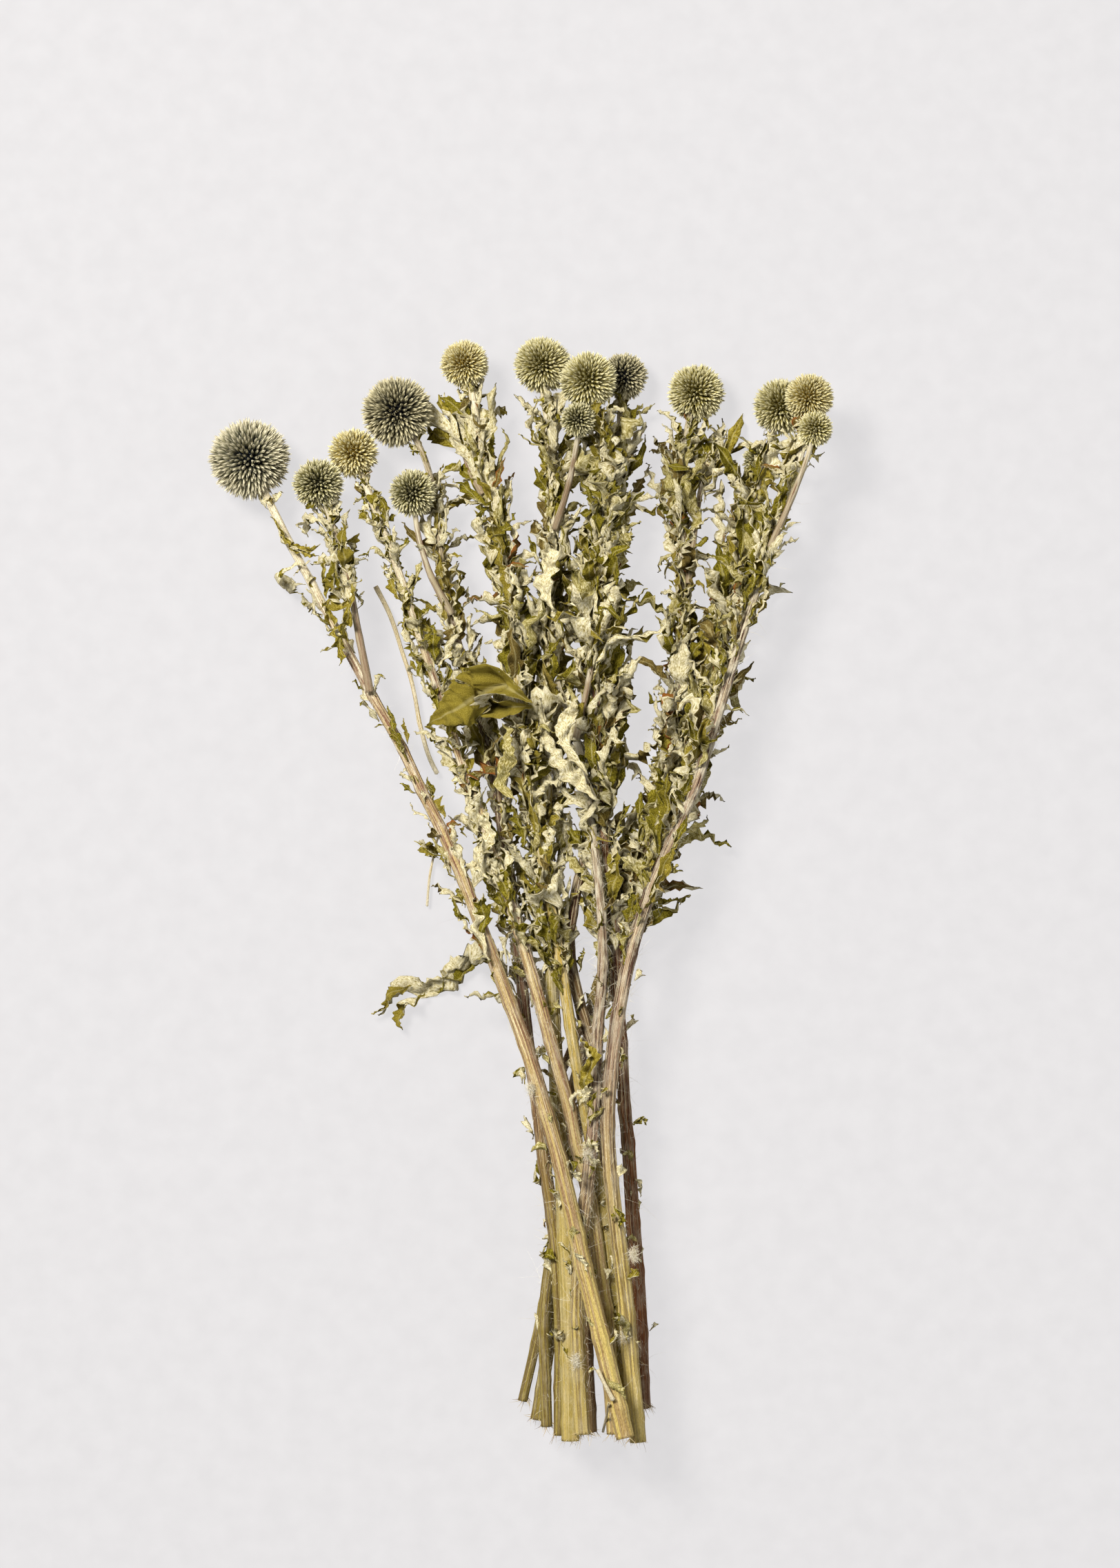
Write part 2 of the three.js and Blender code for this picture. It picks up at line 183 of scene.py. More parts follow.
# %% The table
sheet, tree, shader = new_material("table_sheet", 0.9)
speckle = node(tree, "ShaderNodeTexNoise", Scale=900.0, Detail=2.0)
paper = ramp(tree, speckle.outputs[0], (0.3, linear(82, 81, 82)), (0.7, linear(86, 85, 86)))
glow = ramp(tree, speckle.outputs[0], (0.3, linear(236, 234, 235)), (0.7, linear(239, 237, 238)))
tree.links.new(paper, shader.inputs["Base Color"])
tree.links.new(glow, shader.inputs["Emission Color"])
shader.inputs["Emission Strength"].default_value = 0.8

table = bpy.data.objects.new("table", bpy.data.meshes.new("table"))
half_side = 6.0
corner_signs = ((-1, -1), (1, -1), (1, 1), (-1, 1))
table_corners = [(half_side * x, half_side * y, 0) for x, y in corner_signs]
table.data.from_pydata(table_corners, [], [(0, 1, 2, 3)])
table.data.materials.append(sheet)
bpy.context.collection.objects.link(table)
print("table", 2 * half_side, "m square")

# %% [markdown]
# ## Light
#
# A studio lights such a bunch with one broad soft lamp from the upper left, so the shadows are short and
# soft. A weaker lamp from the right and a faint sky open the shadows without filling them: the gaps
# between the leaves have to stay dark. The first lamp is a little warm, which keeps the straw yellow.

# %% Sky and lamps
sky = bpy.data.worlds.new("sky")
sky.use_nodes = True
sky.node_tree.nodes["Background"].inputs["Color"].default_value = (1, 1, 1, 1)
sky.node_tree.nodes["Background"].inputs["Strength"].default_value = 0.14
bpy.context.scene.world = sky


def soft_lamp(name, at, size, power, tint):
    """A square area lamp that faces the middle of the bunch."""
    light = bpy.data.lights.new(name, "AREA")
    light.color = tint
    light.size = size
    light.energy = power
    lamp = bpy.data.objects.new(name, light)
    lamp.location = at
    lamp.rotation_euler = (VIEW_CENTRE - Vector(at)).to_track_quat("-Z", "Y").to_euler()
    bpy.context.collection.objects.link(lamp)


soft_lamp("key_lamp", (-0.8, 0.9, 1.95), 0.6, 81, (1, 0.97, 0.91))
soft_lamp("fill_lamp", (1.4, -0.4, 1.5), 1.4, 12, (1, 1, 1))
print("a sky and", len(bpy.data.lights), "lamps")

# %% [markdown]
# ## Meshes from arrays
#
# A head has hundreds of florets and a stem thousands of hairs, so the points are worked out with numpy,
# all at once, and handed to Blender as whole arrays. Each mesh also carries numbers at its points, such
# as how far along the stem a point is. The shaders read them, so bark and leaves are coloured along their
# own growth.

# %% Arrays to mesh


def mesh_piece(name, points, faces, material, numbers, node_names):
    """A piece from its points in metres and its faces, three or four corners each. node_names are the solids
    that it stands for."""
    mesh = bpy.data.meshes.new(name)
    corners = np.concatenate([f.ravel() for f in faces]).astype(np.int32)
    sizes = np.concatenate([np.full(len(f), f.shape[1]) for f in faces])
    starts = np.concatenate([[0], np.cumsum(sizes)[:-1]]).astype(np.int32)
    mesh.vertices.add(len(points))
    mesh.vertices.foreach_set("co", points.astype(np.float32).ravel())
    mesh.loops.add(len(corners))
    mesh.loops.foreach_set("vertex_index", corners)
    mesh.polygons.add(len(sizes))
    mesh.polygons.foreach_set("loop_start", starts)
    mesh.update(calc_edges=True)
    mesh.shade_smooth()
    for key, values in numbers.items():
        values = np.asarray(values, dtype=np.float32)
        kind, field = ("FLOAT", "value") if values.ndim == 1 else ("FLOAT_VECTOR", "vector")
        mesh.attributes.new(key, kind, "POINT").data.foreach_set(field, values.ravel())
    mesh.materials.append(material)
    piece = bpy.data.objects.new(name, mesh)
    bpy.context.collection.objects.link(piece)
    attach(piece, "root")
    if node_names:
        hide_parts(*node_names)
    return piece


def grid_faces(rows, columns, closed):
    """Four-cornered faces of a grid of points. closed joins the last column to the first."""
    steps_across = columns if closed else columns - 1
    row, column = np.meshgrid(np.arange(rows - 1), np.arange(steps_across), indexing="ij")
    here = row * columns + column
    beside = row * columns + (column + 1) % columns
    return np.stack([here, beside, beside + columns, here + columns], -1).reshape(-1, 4)


def many(faces, count, points_each):
    """The faces of count equal shapes whose points follow each other."""
    return (faces[None] + np.arange(count)[:, None, None] * points_each).reshape(-1, faces.shape[1])


def unit(vectors):
    """Directions of length one."""
    return vectors / np.maximum(np.linalg.norm(vectors, axis=-1, keepdims=True), 1e-12)


def ripple(points, size, seed):
    """Smooth, random hills from -1 to 1, about size metres across, at each point."""
    dice = np.random.default_rng(seed)
    total = np.zeros(points.shape[:-1])
    for _ in range(7):
        wave = dice.normal(size=3)
        wave *= dice.uniform(0.7, 1.4) * 2 * np.pi / size / np.linalg.norm(wave) / 2
        total += np.sin(points @ wave + dice.uniform(0, 2 * np.pi))
    return total / 2.6


print("a tube of 3 rings with 8 points each has", len(grid_faces(3, 8, True)), "faces")

# %% [markdown]
# ## Finding the stems
#
# Each solid stem is a row of rings. The middle of each ring lies on the stem's axis, and its corners give
# the thickness. A smooth curve through the middles is the path that the bark, the hairs and the leaves
# follow.

# %% Axis and thickness of each stem


def corners_of(name):
    """The corner points of a solid, each once, from low to high along the bunch."""
    mesh = nodes[name].data
    points = np.empty(len(mesh.vertices) * 3)
    mesh.vertices.foreach_get("co", points)
    points = np.unique(np.round(points.reshape(-1, 3), 6), axis=0)
    return points[np.argsort(points[:, 1])]


def smooth_path(knots, step):
    """A curve through the knots, in steps of one size: columns are x, y, z and whatever else a knot holds."""
    lengths = np.concatenate([[0], np.cumsum(np.linalg.norm(np.diff(knots[:, :3], axis=0), axis=1))])
    slopes = np.gradient(knots, lengths, axis=0)
    at = np.linspace(0, lengths[-1], max(4, int(lengths[-1] / step)))
    i = np.clip(np.searchsorted(lengths, at, side="right") - 1, 0, len(knots) - 2)
    gap = (lengths[i + 1] - lengths[i])[:, None]
    t = (at - lengths[i])[:, None] / gap
    start, end, leave, arrive = knots[i], knots[i + 1], slopes[i] * gap, slopes[i + 1] * gap
    curve = (2 * t**3 - 3 * t**2 + 1) * start + (t**3 - 2 * t**2 + t) * leave
    return curve + (3 * t**2 - 2 * t**3) * end + (t**3 - t**2) * arrive


STEP = 1.5 * MM  # between the rings of a stem


def axis_of(name):
    """The path of a solid stem: x, y, z and radius at each step."""
    points = corners_of(name)
    rings = np.split(points, np.nonzero(np.diff(points[:, 1]) > 6 * MM)[0] + 1)
    middles = [ring.mean(0) for ring in rings]
    radii = [np.linalg.norm(ring - middle, axis=1).max() for ring, middle in zip(rings, middles)]
    head = next((kind + name[-1] for kind in ("globe_", "bud_") if kind + name[-1] in nodes), None)
    if head:
        low, high = (np.array(corner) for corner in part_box(head))
        middles.append(middles[-1] * 0.62 + (low + high) / 2 * 0.38)
        radii.append(radii[-1])
    return smooth_path(np.column_stack([middles, radii]), STEP)


def frames_along(path):
    """The direction of a path at each point, and the ways across it: to the right and over the top."""
    ahead = unit(np.gradient(path, axis=0))
    right = unit(np.cross(ahead, [0, 0, 1]))
    return ahead, right, np.cross(right, ahead)


stem_names = [name for name in nodes if "stem_" in name]
axes = {name.split("stem_")[1]: axis_of(name) for name in stem_names}
MAIN_LETTERS = "acdfghijklmp"
print(len(axes), "stems, total length", round(sum(len(axis) for axis in axes.values()) * STEP, 2), "m")

# %% [markdown]
# ## Bark
#
# A dried globe thistle stem is ribbed from foot to neck, streaked with purple where the wool has worn
# off, and swollen a little where each leaf grew. High up it keeps its white wool, and low down it turns
# to straw. The streaks run along the stem, so the shader stretches its noise along the growth. The
# streaks are a node group, because each stem has its own colours but all share the same way of growing.

# %% Streaks that run along the growth


def shader_group(name, inputs, outputs):
    """An empty shader node group with its sockets: each is (name, socket type, default)."""
    group = bpy.data.node_groups.new(name, "ShaderNodeTree")
    for socket_name, kind, default in inputs:
        socket = group.interface.new_socket(socket_name, in_out="INPUT", socket_type=kind)
        socket.default_value = default
    for socket_name, kind in outputs:
        group.interface.new_socket(socket_name, in_out="OUTPUT", socket_type=kind)
    return group, group.nodes.new("NodeGroupInput"), group.nodes.new("NodeGroupOutput")


FLOAT, COLOUR = "NodeSocketFloat", "NodeSocketColor"

streaks, given, result = shader_group(
    "growth_streaks",
    [("Fineness", FLOAT, 3.0), ("Length", FLOAT, 0.5)],
    [("Streak", FLOAT), ("Height", FLOAT)],
)
grain = attribute(streaks, "grain").outputs["Vector"]
parts = node(streaks, "ShaderNodeSeparateXYZ", _0=grain)
along = maths(streaks, "MULTIPLY", parts.outputs[2], given.outputs["Length"])
stretched = node(streaks, "ShaderNodeCombineXYZ", _0=parts.outputs[0], _1=parts.outputs[1], _2=along)
fineness = given.outputs["Fineness"]
finer = maths(streaks, "MULTIPLY", fineness, 3.5)
broad = node(streaks, "ShaderNodeTexNoise", Vector=stretched.outputs[0], Scale=fineness, Detail=4.0)
fine = node(streaks, "ShaderNodeTexNoise", Vector=stretched.outputs[0], Scale=finer, Detail=3.0)
streaks.links.new(broad.outputs[0], result.inputs["Streak"])
streaks.links.new(fine.outputs[0], result.inputs["Height"])
print("sockets of", streaks.name, "out:", [socket.name for socket in result.inputs if socket.name])

# %% [markdown]
# ## Flecks
#
# Every dry surface of the plant is freckled with small brown spots. One picture of spots could be laid
# over all of it, but it would stretch on the curls. A fine noise in a second node group darkens any
# colour it is given, so bark, florets, leaves and wool share it, each with its own size and depth.

# %% Flecks
flecks, given, result = shader_group(
    "flecks",
    [("Size", FLOAT, 500.0), ("Depth", FLOAT, 0.7), ("Colour", COLOUR, (1, 1, 1, 1))],
    [("Colour", COLOUR), ("Height", FLOAT)],
)
specks = node(flecks, "ShaderNodeTexNoise", Scale=given.outputs["Size"], Detail=4.0)
shade = ramp(flecks, specks.outputs[0], (0.36, linear(146, 130, 84)), (0.56, linear(255, 255, 255)))
darker = mix(flecks, given.outputs["Depth"], given.outputs["Colour"], shade, "MULTIPLY")
flecks.links.new(darker, result.inputs["Colour"])
flecks.links.new(specks.outputs[0], result.inputs["Height"])
print("node groups:", [group.name for group in bpy.data.node_groups])

# %% [markdown]
# ## Colours of the bark
#
# No two stems dried alike: some are straw, some purple brown, one is rusty and one golden. A picture of
# bark round each stem would need a seam and would stretch at the foot. So one recipe takes the colours of
# a stem's foot, middle and neck and of its streaks, and reads the numbers that the mesh carries to know
# where each belongs.

# %% Bark material


def bark_material(name, foot, middle, neck, streak, wool):
    """Bark from foot to neck, with dark streaks and patches of pale wool (0 none, 1 all over)."""
    material, tree, shader = new_material("bark_" + name, 0.8)
    grown = attribute(tree, "along").outputs["Fac"]
    base = ramp(tree, grown, (0.0, foot), (0.16, foot), (0.36, middle), (0.7, middle), (0.86, neck))
    lines = node(tree, "ShaderNodeGroup", {"node_tree": streaks}, Fineness=3.4, Length=0.035)
    dark = between(tree, lines.outputs["Streak"], 0.45, 0.55)
    worn = between(tree, grown, 0.1, 0.5, 0.6, 1.0)
    hidden = between(tree, grown, 0.78, 0.92, 1.0, 0.3)  # the thick wool near the head hides the streaks
    shown = maths(tree, "MULTIPLY", worn, hidden)
    colour = mix(tree, maths(tree, "MULTIPLY", dark, shown), base, streak)
    pale_lines = between(tree, lines.outputs["Height"], 0.53, 0.62, 0.0, 0.85)
    upward = between(tree, grown, 0.14, 0.4, 0.3, 1.0)  # near the foot the pale lines have weathered away
    colour = mix(tree, maths(tree, "MULTIPLY", pale_lines, upward), colour, linear(232, 218, 180))
    grain = attribute(tree, "grain").outputs["Vector"]
    patches = node(tree, "ShaderNodeTexNoise", Vector=grain, Scale=1.1, Detail=5.0).outputs[0]
    fluff = between(tree, patches, 0.62 - 0.3 * wool, 0.78 - 0.3 * wool)
    rising = between(tree, grown, 0.3, 0.92, 0.3 * wool, 1.0)
    colour = mix(tree, maths(tree, "MULTIPLY", fluff, rising), colour, linear(236, 228, 204))
    pith = ramp(tree, patches, (0.35, linear(208, 190, 140)), (0.65, linear(238, 228, 196)))
    colour = mix(tree, attribute(tree, "pith").outputs["Fac"], colour, pith)
    speckled = node(tree, "ShaderNodeGroup", {"node_tree": flecks}, Size=330.0, Depth=0.5, Colour=colour)
    tree.links.new(speckled.outputs["Colour"], shader.inputs["Base Color"])
    rough = maths(tree, "ADD", lines.outputs["Height"], speckled.outputs["Height"])
    bump = node(tree, "ShaderNodeBump", Height=rough, Strength=0.6, Distance=0.0007)
    tree.links.new(bump.outputs[0], shader.inputs["Normal"])
    return material


# %% A bark for each stem
STRAW = linear(204, 182, 108)
GOLD = linear(194, 168, 88)
TAN = linear(190, 166, 114)
CREAM = linear(228, 218, 188)
GREY = linear(180, 166, 136)
DUSK = linear(122, 98, 66)
RED = linear(122, 76, 42)
MAUVE = linear(132, 96, 76)
ASH = linear(162, 136, 114)
PLUM = linear(76, 48, 38)
OLIVE = linear(162, 144, 72)

BARKS = {  # foot, middle, neck, streaks, and how woolly
    "a": (STRAW, TAN, CREAM, MAUVE, 0.35),
    "c": (STRAW, TAN, CREAM, MAUVE, 0.45),
    "d": (OLIVE, MAUVE, GREY, PLUM, 0.3),
    "f": (OLIVE, GOLD, CREAM, OLIVE, 0.5),
    "g": (STRAW, OLIVE, CREAM, OLIVE, 0.6),
    "h": (RED, RED, CREAM, PLUM, 0.5),
    "i": (DUSK, DUSK, GREY, PLUM, 0.3),
    "j": (OLIVE, DUSK, GREY, PLUM, 0.5),
    "k": (OLIVE, DUSK, GREY, PLUM, 0.5),
    "l": (STRAW, ASH, CREAM, PLUM, 0.5),
    "m": (OLIVE, DUSK, GREY, PLUM, 0.4),
    "p": (STRAW, ASH, CREAM, PLUM, 0.55),
}
bark_materials = {name: bark_material(name, *colours) for name, colours in BARKS.items()}
bark_materials["side"] = bark_material("side", GREY, GREY, CREAM, MAUVE, 0.5)
bark_materials["twig"] = bark_material("twig", CREAM, CREAM, CREAM, TAN, 0.6)
print(len(bark_materials), "barks")

# %% [markdown]
# ## Stems
#
# A stem could be a curve with a bevel, but its ribs, leaf joints and hollow cut end need their own
# points. So each stem is a grid of rings round its axis. The ribs are a wave in the radius, each joint is
# a small swelling with a kink, and at the foot the rings turn inwards over the rim into the pith.

# %% Ribbed skins
RIB_DEPTH = 0.07  # as a share of the radius
JOINT_SPACING = 31 * MM
MAIN_SIDES, SIDE_SIDES = 34, 20  # points round a main stem and a side stem
TABLE_GAP = 0.2 * MM  # nothing comes nearer to the table than this


def stem_skin(letter, path, sides, seed):
    """The points, faces and numbers of one stem."""
    dice = np.random.default_rng(seed)
    middle, radius = path[:, :3].copy(), path[:, 3].copy()
    length = np.arange(len(path)) * STEP
    ahead, right, over = frames_along(middle)
    joint_count = max(1, int(length[-1] / JOINT_SPACING))
    joints = dice.uniform(0.3, 1) * JOINT_SPACING + np.arange(joint_count) * JOINT_SPACING
    joints = joints + dice.normal(0, 4 * MM, len(joints))
    swelling = sum(np.exp(-(((length - joint) / (3.2 * MM)) ** 2)) for joint in joints)
    kinks = np.interp(length, joints, dice.normal(0, 0.5 * MM, len(joints)))
    sway = np.interp(length, joints, dice.normal(0, 0.5 * MM, len(joints)))
    middle += right * kinks[:, None] + over * sway[:, None] * 0.6
    share = length / length[-1]
    slimmer = 0.15 * np.clip((share - 0.12) / 0.2, 0, 1) * np.clip((1 - share) / 0.4, 0, 1)
    radius = radius * (1 - slimmer)
    middle[:, 2] = np.maximum(middle[:, 2], radius)
    angle = np.linspace(0, 2 * np.pi, sides, endpoint=False)
    ribs = max(7, sides // 3)
    turning = dice.uniform(0, 6) + length[:, None] * dice.uniform(2, 6)
    wave = np.cos(ribs * (angle[None] + turning * 0.3))
    uneven = 0.05 * np.cos(2 * angle[None] + turning) + 0.03 * np.cos(3 * angle[None] - 2 * turning)
    size = radius[:, None] * (0.96 + RIB_DEPTH * wave + uneven + 0.1 * swelling[:, None])
    ring = np.cos(angle)[None, :, None] * right[:, None] + np.sin(angle)[None, :, None] * over[:, None]
    points = middle[:, None] + ring * size[..., None]
    # The cut foot: over the rim, and down into the pith.
    rim = middle[0] + ring[0] * (size[0] * 0.72)[:, None]
    well = middle[0] + ahead[0] * 2.2 * MM + ring[0] * (size[0] * 0.5)[:, None]
    bottom = np.broadcast_to(middle[0] + ahead[0] * 2.4 * MM, rim.shape)
    tip = np.broadcast_to(middle[-1] + ahead[-1] * 0.6 * MM, rim.shape)
    points = np.concatenate([[bottom, well, rim], points, [tip]])
    share = np.concatenate([[0, 0, 0], share, [1]])
    along = np.repeat(share, sides)
    grown = np.repeat(np.concatenate([[0, 0, 0], length, [length[-1]]]), sides) / (10 * MM)
    turned = np.tile(angle, len(share))
    offset = dice.uniform(0, 50)
    grain = np.column_stack([np.cos(turned) + offset, np.sin(turned), grown])
    pith = np.repeat((np.arange(len(share)) < 3).astype(float), sides)
    numbers = {"along": along, "grain": grain, "pith": pith}
    return points.reshape(-1, 3), grid_faces(len(share), sides, True), numbers


# %% A skin on each stem
rings_total = 0
for number, (letter, path) in enumerate(axes.items()):
    main = "stem_" + letter in nodes
    solid = ("stem_" if main else "side_stem_") + letter
    points, faces, numbers = stem_skin(letter, path, MAIN_SIDES if main else SIDE_SIDES, 100 + number)
    points[:, 2] = np.maximum(points[:, 2], TABLE_GAP)
    bark = bark_materials[letter if main else "side"]
    mesh_piece("bark_" + letter, points, [faces], bark, numbers, [solid])
    rings_total += len(path)
print(len(axes), "stems with", rings_total, "rings")

# %% [markdown]
# ## Flower heads
#
# A globe thistle's head is a ball of separate small flowers. Each floret sits in its own cup of stiff,
# narrow bracts that stand out from the middle of the ball and taper to a pale point. So a head is built
# floret by floret: directions spread evenly over the ball, and round each of them a bundle of thin
# blades. Deep down the blades are painted dark, a painted shade between the florets, and their points are
# bleached.

# %% Florets


def even_directions(count, seed):
    """Directions spread evenly over a ball, a little disturbed."""
    i = np.arange(count) + 0.5
    height = 1 - 2 * i / count
    turn = np.pi * (1 + 5**0.5) * i
    flat = np.sqrt(1 - height**2)
    directions = np.column_stack([np.cos(turn) * flat, np.sin(turn) * flat, height])
    return unit(directions + np.random.default_rng(seed).normal(0, 0.25 / np.sqrt(count), directions.shape))


spread = even_directions(400, 1)
nearest = np.sort(spread @ spread.T, axis=1)[:, -2]
widest = np.degrees(np.arccos(nearest.min()))
print("each of 400 directions has another within", round(widest, 1), "degrees")

# %% [markdown]
# ## Bracts
#
# A bract is a stiff, narrow blade that bends outwards and ends in a point. It could be a cone, but a real
# one is keeled like a boat, and the keel catches the light. So each blade is a strip of three points
# across, five along, whose edges drop behind its spine. The blades of one floret stand in a ring and lean
# out from its axis, some more than others, so that the head looks ragged close up and round from afar.

# %% Bracts
BLADE_STATIONS = np.array([0.0, 0.35, 0.62, 0.84, 1.0])  # along a bract
BLADE_SPREAD = np.array([0.12, 0.38, 0.52, 0.42, 0.2])  # how far it stands from the floret's own axis
BLADE_WIDTH = np.array([0.4, 0.8, 0.95, 0.6, 0.0])
BLADES = 6  # in a floret


def floret_ball(centre, radius, away, pitch, raggedness, seed):
    """Every bract of a head: its points, faces and numbers. away is the way to the head's own stalk."""
    dice = np.random.default_rng(seed)
    count = int(4 * np.pi * radius**2 / (0.87 * pitch**2))
    out = even_directions(count, seed)
    out = out[out @ away < 0.965]
    count = len(out)
    side = unit(np.cross(out, unit(dice.normal(size=(count, 3)))))
    other = np.cross(out, side)
    length = radius * (1 - raggedness * dice.random(count) ** 2)
    root = 0.38 * radius
    turn = np.linspace(0, 2 * np.pi, BLADES, endpoint=False)[None] + dice.uniform(0, 6, (count, 1))
    turn = turn + dice.normal(0, 0.3, turn.shape)
    around = np.cos(turn)[..., None] * side[:, None] + np.sin(turn)[..., None] * other[:, None]
    tangent = -np.sin(turn)[..., None] * side[:, None] + np.cos(turn)[..., None] * other[:, None]
    tall = length[:, None] * (1 - 0.2 * dice.random(turn.shape) ** 1.5)
    splay = 1 + dice.normal(0, 0.35, turn.shape)
    t = BLADE_STATIONS
    reach = root + (tall[..., None] - root) * t
    widen = 0.5 * pitch * (0.35 + 0.65 * reach / radius)
    spread = widen * BLADE_SPREAD * np.where(t > 0.7, splay[..., None], 1)
    spine = centre + out[:, None, None] * reach[..., None] + around[:, :, None] * spread[..., None]
    half = 0.45 * widen * BLADE_WIDTH
    left = spine + tangent[:, :, None] * half[..., None] - around[:, :, None] * half[..., None] * 0.35
    right = spine - tangent[:, :, None] * half[..., None] - around[:, :, None] * half[..., None] * 0.35
    points = np.stack([left, spine, right], axis=3)  # floret, blade, station, across
    faces = many(grid_faces(len(t), 3, False), count * BLADES, 3 * len(t))
    reach_number = np.broadcast_to(t[None, None, :, None], points.shape[:-1])
    floret_tone = np.broadcast_to(dice.random(count)[:, None, None, None], points.shape[:-1])
    facing = np.broadcast_to(out[:, None, None, None], points.shape)
    numbers = {"reach": reach_number.ravel(), "tone": floret_tone.ravel(), "facing": facing.reshape(-1, 3)}
    return points.reshape(-1, 3), faces, numbers


def shaded_core_ball(centre, radius, rings=13, sides=24):
    """The heart of a head, a ball of rings that closes the gaps between the florets. Its near-black colour is
    a painted shade.
    """
    turn = np.linspace(0, 2 * np.pi, sides, endpoint=False)[None]
    tilt = np.linspace(0, np.pi, rings)[:, None]
    height = np.broadcast_to(np.cos(tilt), (rings, sides))
    ball = np.stack([np.cos(turn) * np.sin(tilt), np.sin(turn) * np.sin(tilt), height], -1)
    return centre + radius * ball.reshape(-1, 3), grid_faces(rings, sides, True)


print(BLADES, "blades in a floret,", len(BLADE_STATIONS) * 3, "points in a blade")

# %% [markdown]
# ## Colours of the florets
#
# Deep in a head the bracts are dark, steel blue or green when they are young, and their points are
# bleached. At the heart the colour is almost black, a painted shade between the florets, and deep down
# the bracts' own dark colour is deepened by painted shade too. The colour could be painted on each bract,
# but a head has thousands. The mesh carries how far along its bract each point is, and a ramp over that
# number colours them all. Some florets follow a second ramp, so neighbours differ.

# %% Floret material


def floret_material(name, painted_shade_heart, deep, body, tip, blush):
    """Bracts from a near-black heart, painted shade deep in the head, to a bleached tip, with some florets of
    another shade.
    """
    material, tree, shader = new_material("florets_" + name, 0.75)
    reach = attribute(tree, "reach").outputs["Fac"]
    tone = attribute(tree, "tone").outputs["Fac"]
    # The heart and deep stops darken the bracts towards their roots: painted shade deep in the head, over
    # their own colour.
    base = ramp(tree, reach, (0.0, painted_shade_heart), (0.42, deep), (0.68, body), (0.88, tip))
    other = ramp(tree, reach, (0.0, painted_shade_heart), (0.48, deep), (0.74, blush), (0.93, tip))
    colour = mix(tree, between(tree, tone, 0.35, 0.9), base, other)
    speckled = node(tree, "ShaderNodeGroup", {"node_tree": flecks}, Size=420.0, Depth=0.6, Colour=colour)
    tree.links.new(speckled.outputs["Colour"], shader.inputs["Base Color"])
    bump = node(tree, "ShaderNodeBump", Height=speckled.outputs["Height"], Strength=0.3, Distance=0.0003)
    tree.links.new(bump.outputs[0], shader.inputs["Normal"])
    return material


# %% Colours of the florets
# Each: the heart, which is painted shade, deep down, darkened by painted shade as well, the body, the tip,
# and the body of the florets that differ.
FLORETS = {
    "steel": (
        linear(34, 38, 44), linear(70, 74, 74), linear(168, 163, 130),
        linear(238, 231, 203), linear(138, 136, 108),
    ),
    "slate": (
        linear(30, 30, 34), linear(60, 60, 58), linear(146, 138, 102),
        linear(228, 220, 184), linear(110, 106, 82),
    ),
    "olive": (
        linear(44, 42, 24), linear(92, 88, 52), linear(168, 160, 106),
        linear(236, 230, 190), linear(128, 124, 82),
    ),
    "straw": (
        linear(130, 108, 44), linear(186, 164, 84), linear(212, 198, 134),
        linear(242, 234, 190), linear(192, 176, 106),
    ),
    "green": (
        linear(92, 84, 34), linear(148, 136, 70), linear(196, 186, 126),
        linear(240, 234, 192), linear(166, 156, 92),
    ),
    "bud": (
        linear(110, 98, 58), linear(168, 156, 106), linear(220, 210, 172),
        linear(248, 242, 218), linear(190, 178, 130),
    ),
}
floret_materials = {name: floret_material(name, *colours) for name, colours in FLORETS.items()}

print(len(floret_materials), "kinds of floret")

# %% Heads
# Each head's colour, the spacing of its florets in millimetres, and how uneven they are.
HEADS = {
    "globe_a": ("steel", 3.6, 0.08), "globe_b": ("olive", 3.1, 0.16), "globe_c": ("straw", 3.2, 0.16),
    "globe_d": ("slate", 3.5, 0.1), "globe_e": ("olive", 2.8, 0.12), "globe_f": ("straw", 2.7, 0.1),
    "globe_g": ("green", 3.1, 0.08), "globe_h": ("green", 3.1, 0.08), "globe_i": ("slate", 2.9, 0.1),
    "globe_j": ("green", 3.1, 0.1), "globe_k": ("green", 3.1, 0.08), "globe_l": ("straw", 2.6, 0.08),
    "globe_m": ("olive", 2.6, 0.18), "globe_q": ("green", 2.6, 0.12), "globe_r": ("olive", 2.6, 0.14),
    "bud_n": ("bud", 2.6, 0.3), "bud_o": ("olive", 2.6, 0.28), "bud_s": ("bud", 2.4, 0.28),
}
LOOSE_HEADS = ("globe_b", "globe_c")  # their florets stand out further
faces_total = 0
for number, (solid, (colour, pitch, raggedness)) in enumerate(HEADS.items()):
    low, high = (np.array(corner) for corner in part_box(solid))
    centre, radius = (low + high) / 2, (high - low).max() / 2
    stalk_end = axes[solid[-1]][-1, :3]
    away = unit(stalk_end - centre)
    reach = radius * (1.14 if solid in LOOSE_HEADS else 1.07)
    points, faces, numbers = floret_ball(centre, reach, away, pitch * MM, raggedness, 300 + number)
    # The core ball takes the heart colour, a painted shade that fills the gaps between the florets.
    core, core_faces = shaded_core_ball(centre, radius * 0.5)
    for key, value in numbers.items():
        numbers[key] = np.concatenate([value, np.zeros((len(core), *value.shape[1:]))])
    faces = np.concatenate([faces, core_faces + len(points)])
    points = np.concatenate([points, core])
    points[:, 2] = np.maximum(points[:, 2], TABLE_GAP)
    mesh_piece("florets_" + solid[-1], points, [faces], floret_materials[colour], numbers, [solid])
    faces_total += len(faces)
print(len(HEADS), "heads,", faces_total, "faces")

# %% [markdown]
# ## Leaves
#
# The leaves are deeply lobed and spiny, olive on top and white with wool below. As they dried they folded
# along the midrib, rolled in from the edges and twisted, so both colours show everywhere. A cloth
# simulation would give soft folds, but these are brittle curls that follow the growth, so each leaf is
# worked out: its midrib is a path that bends and twists as it goes, its section is an arc that rolls up,
# and a fine crumple is added last. All leaves of a tuft are grown together, each with its own numbers
# from a seeded dice.

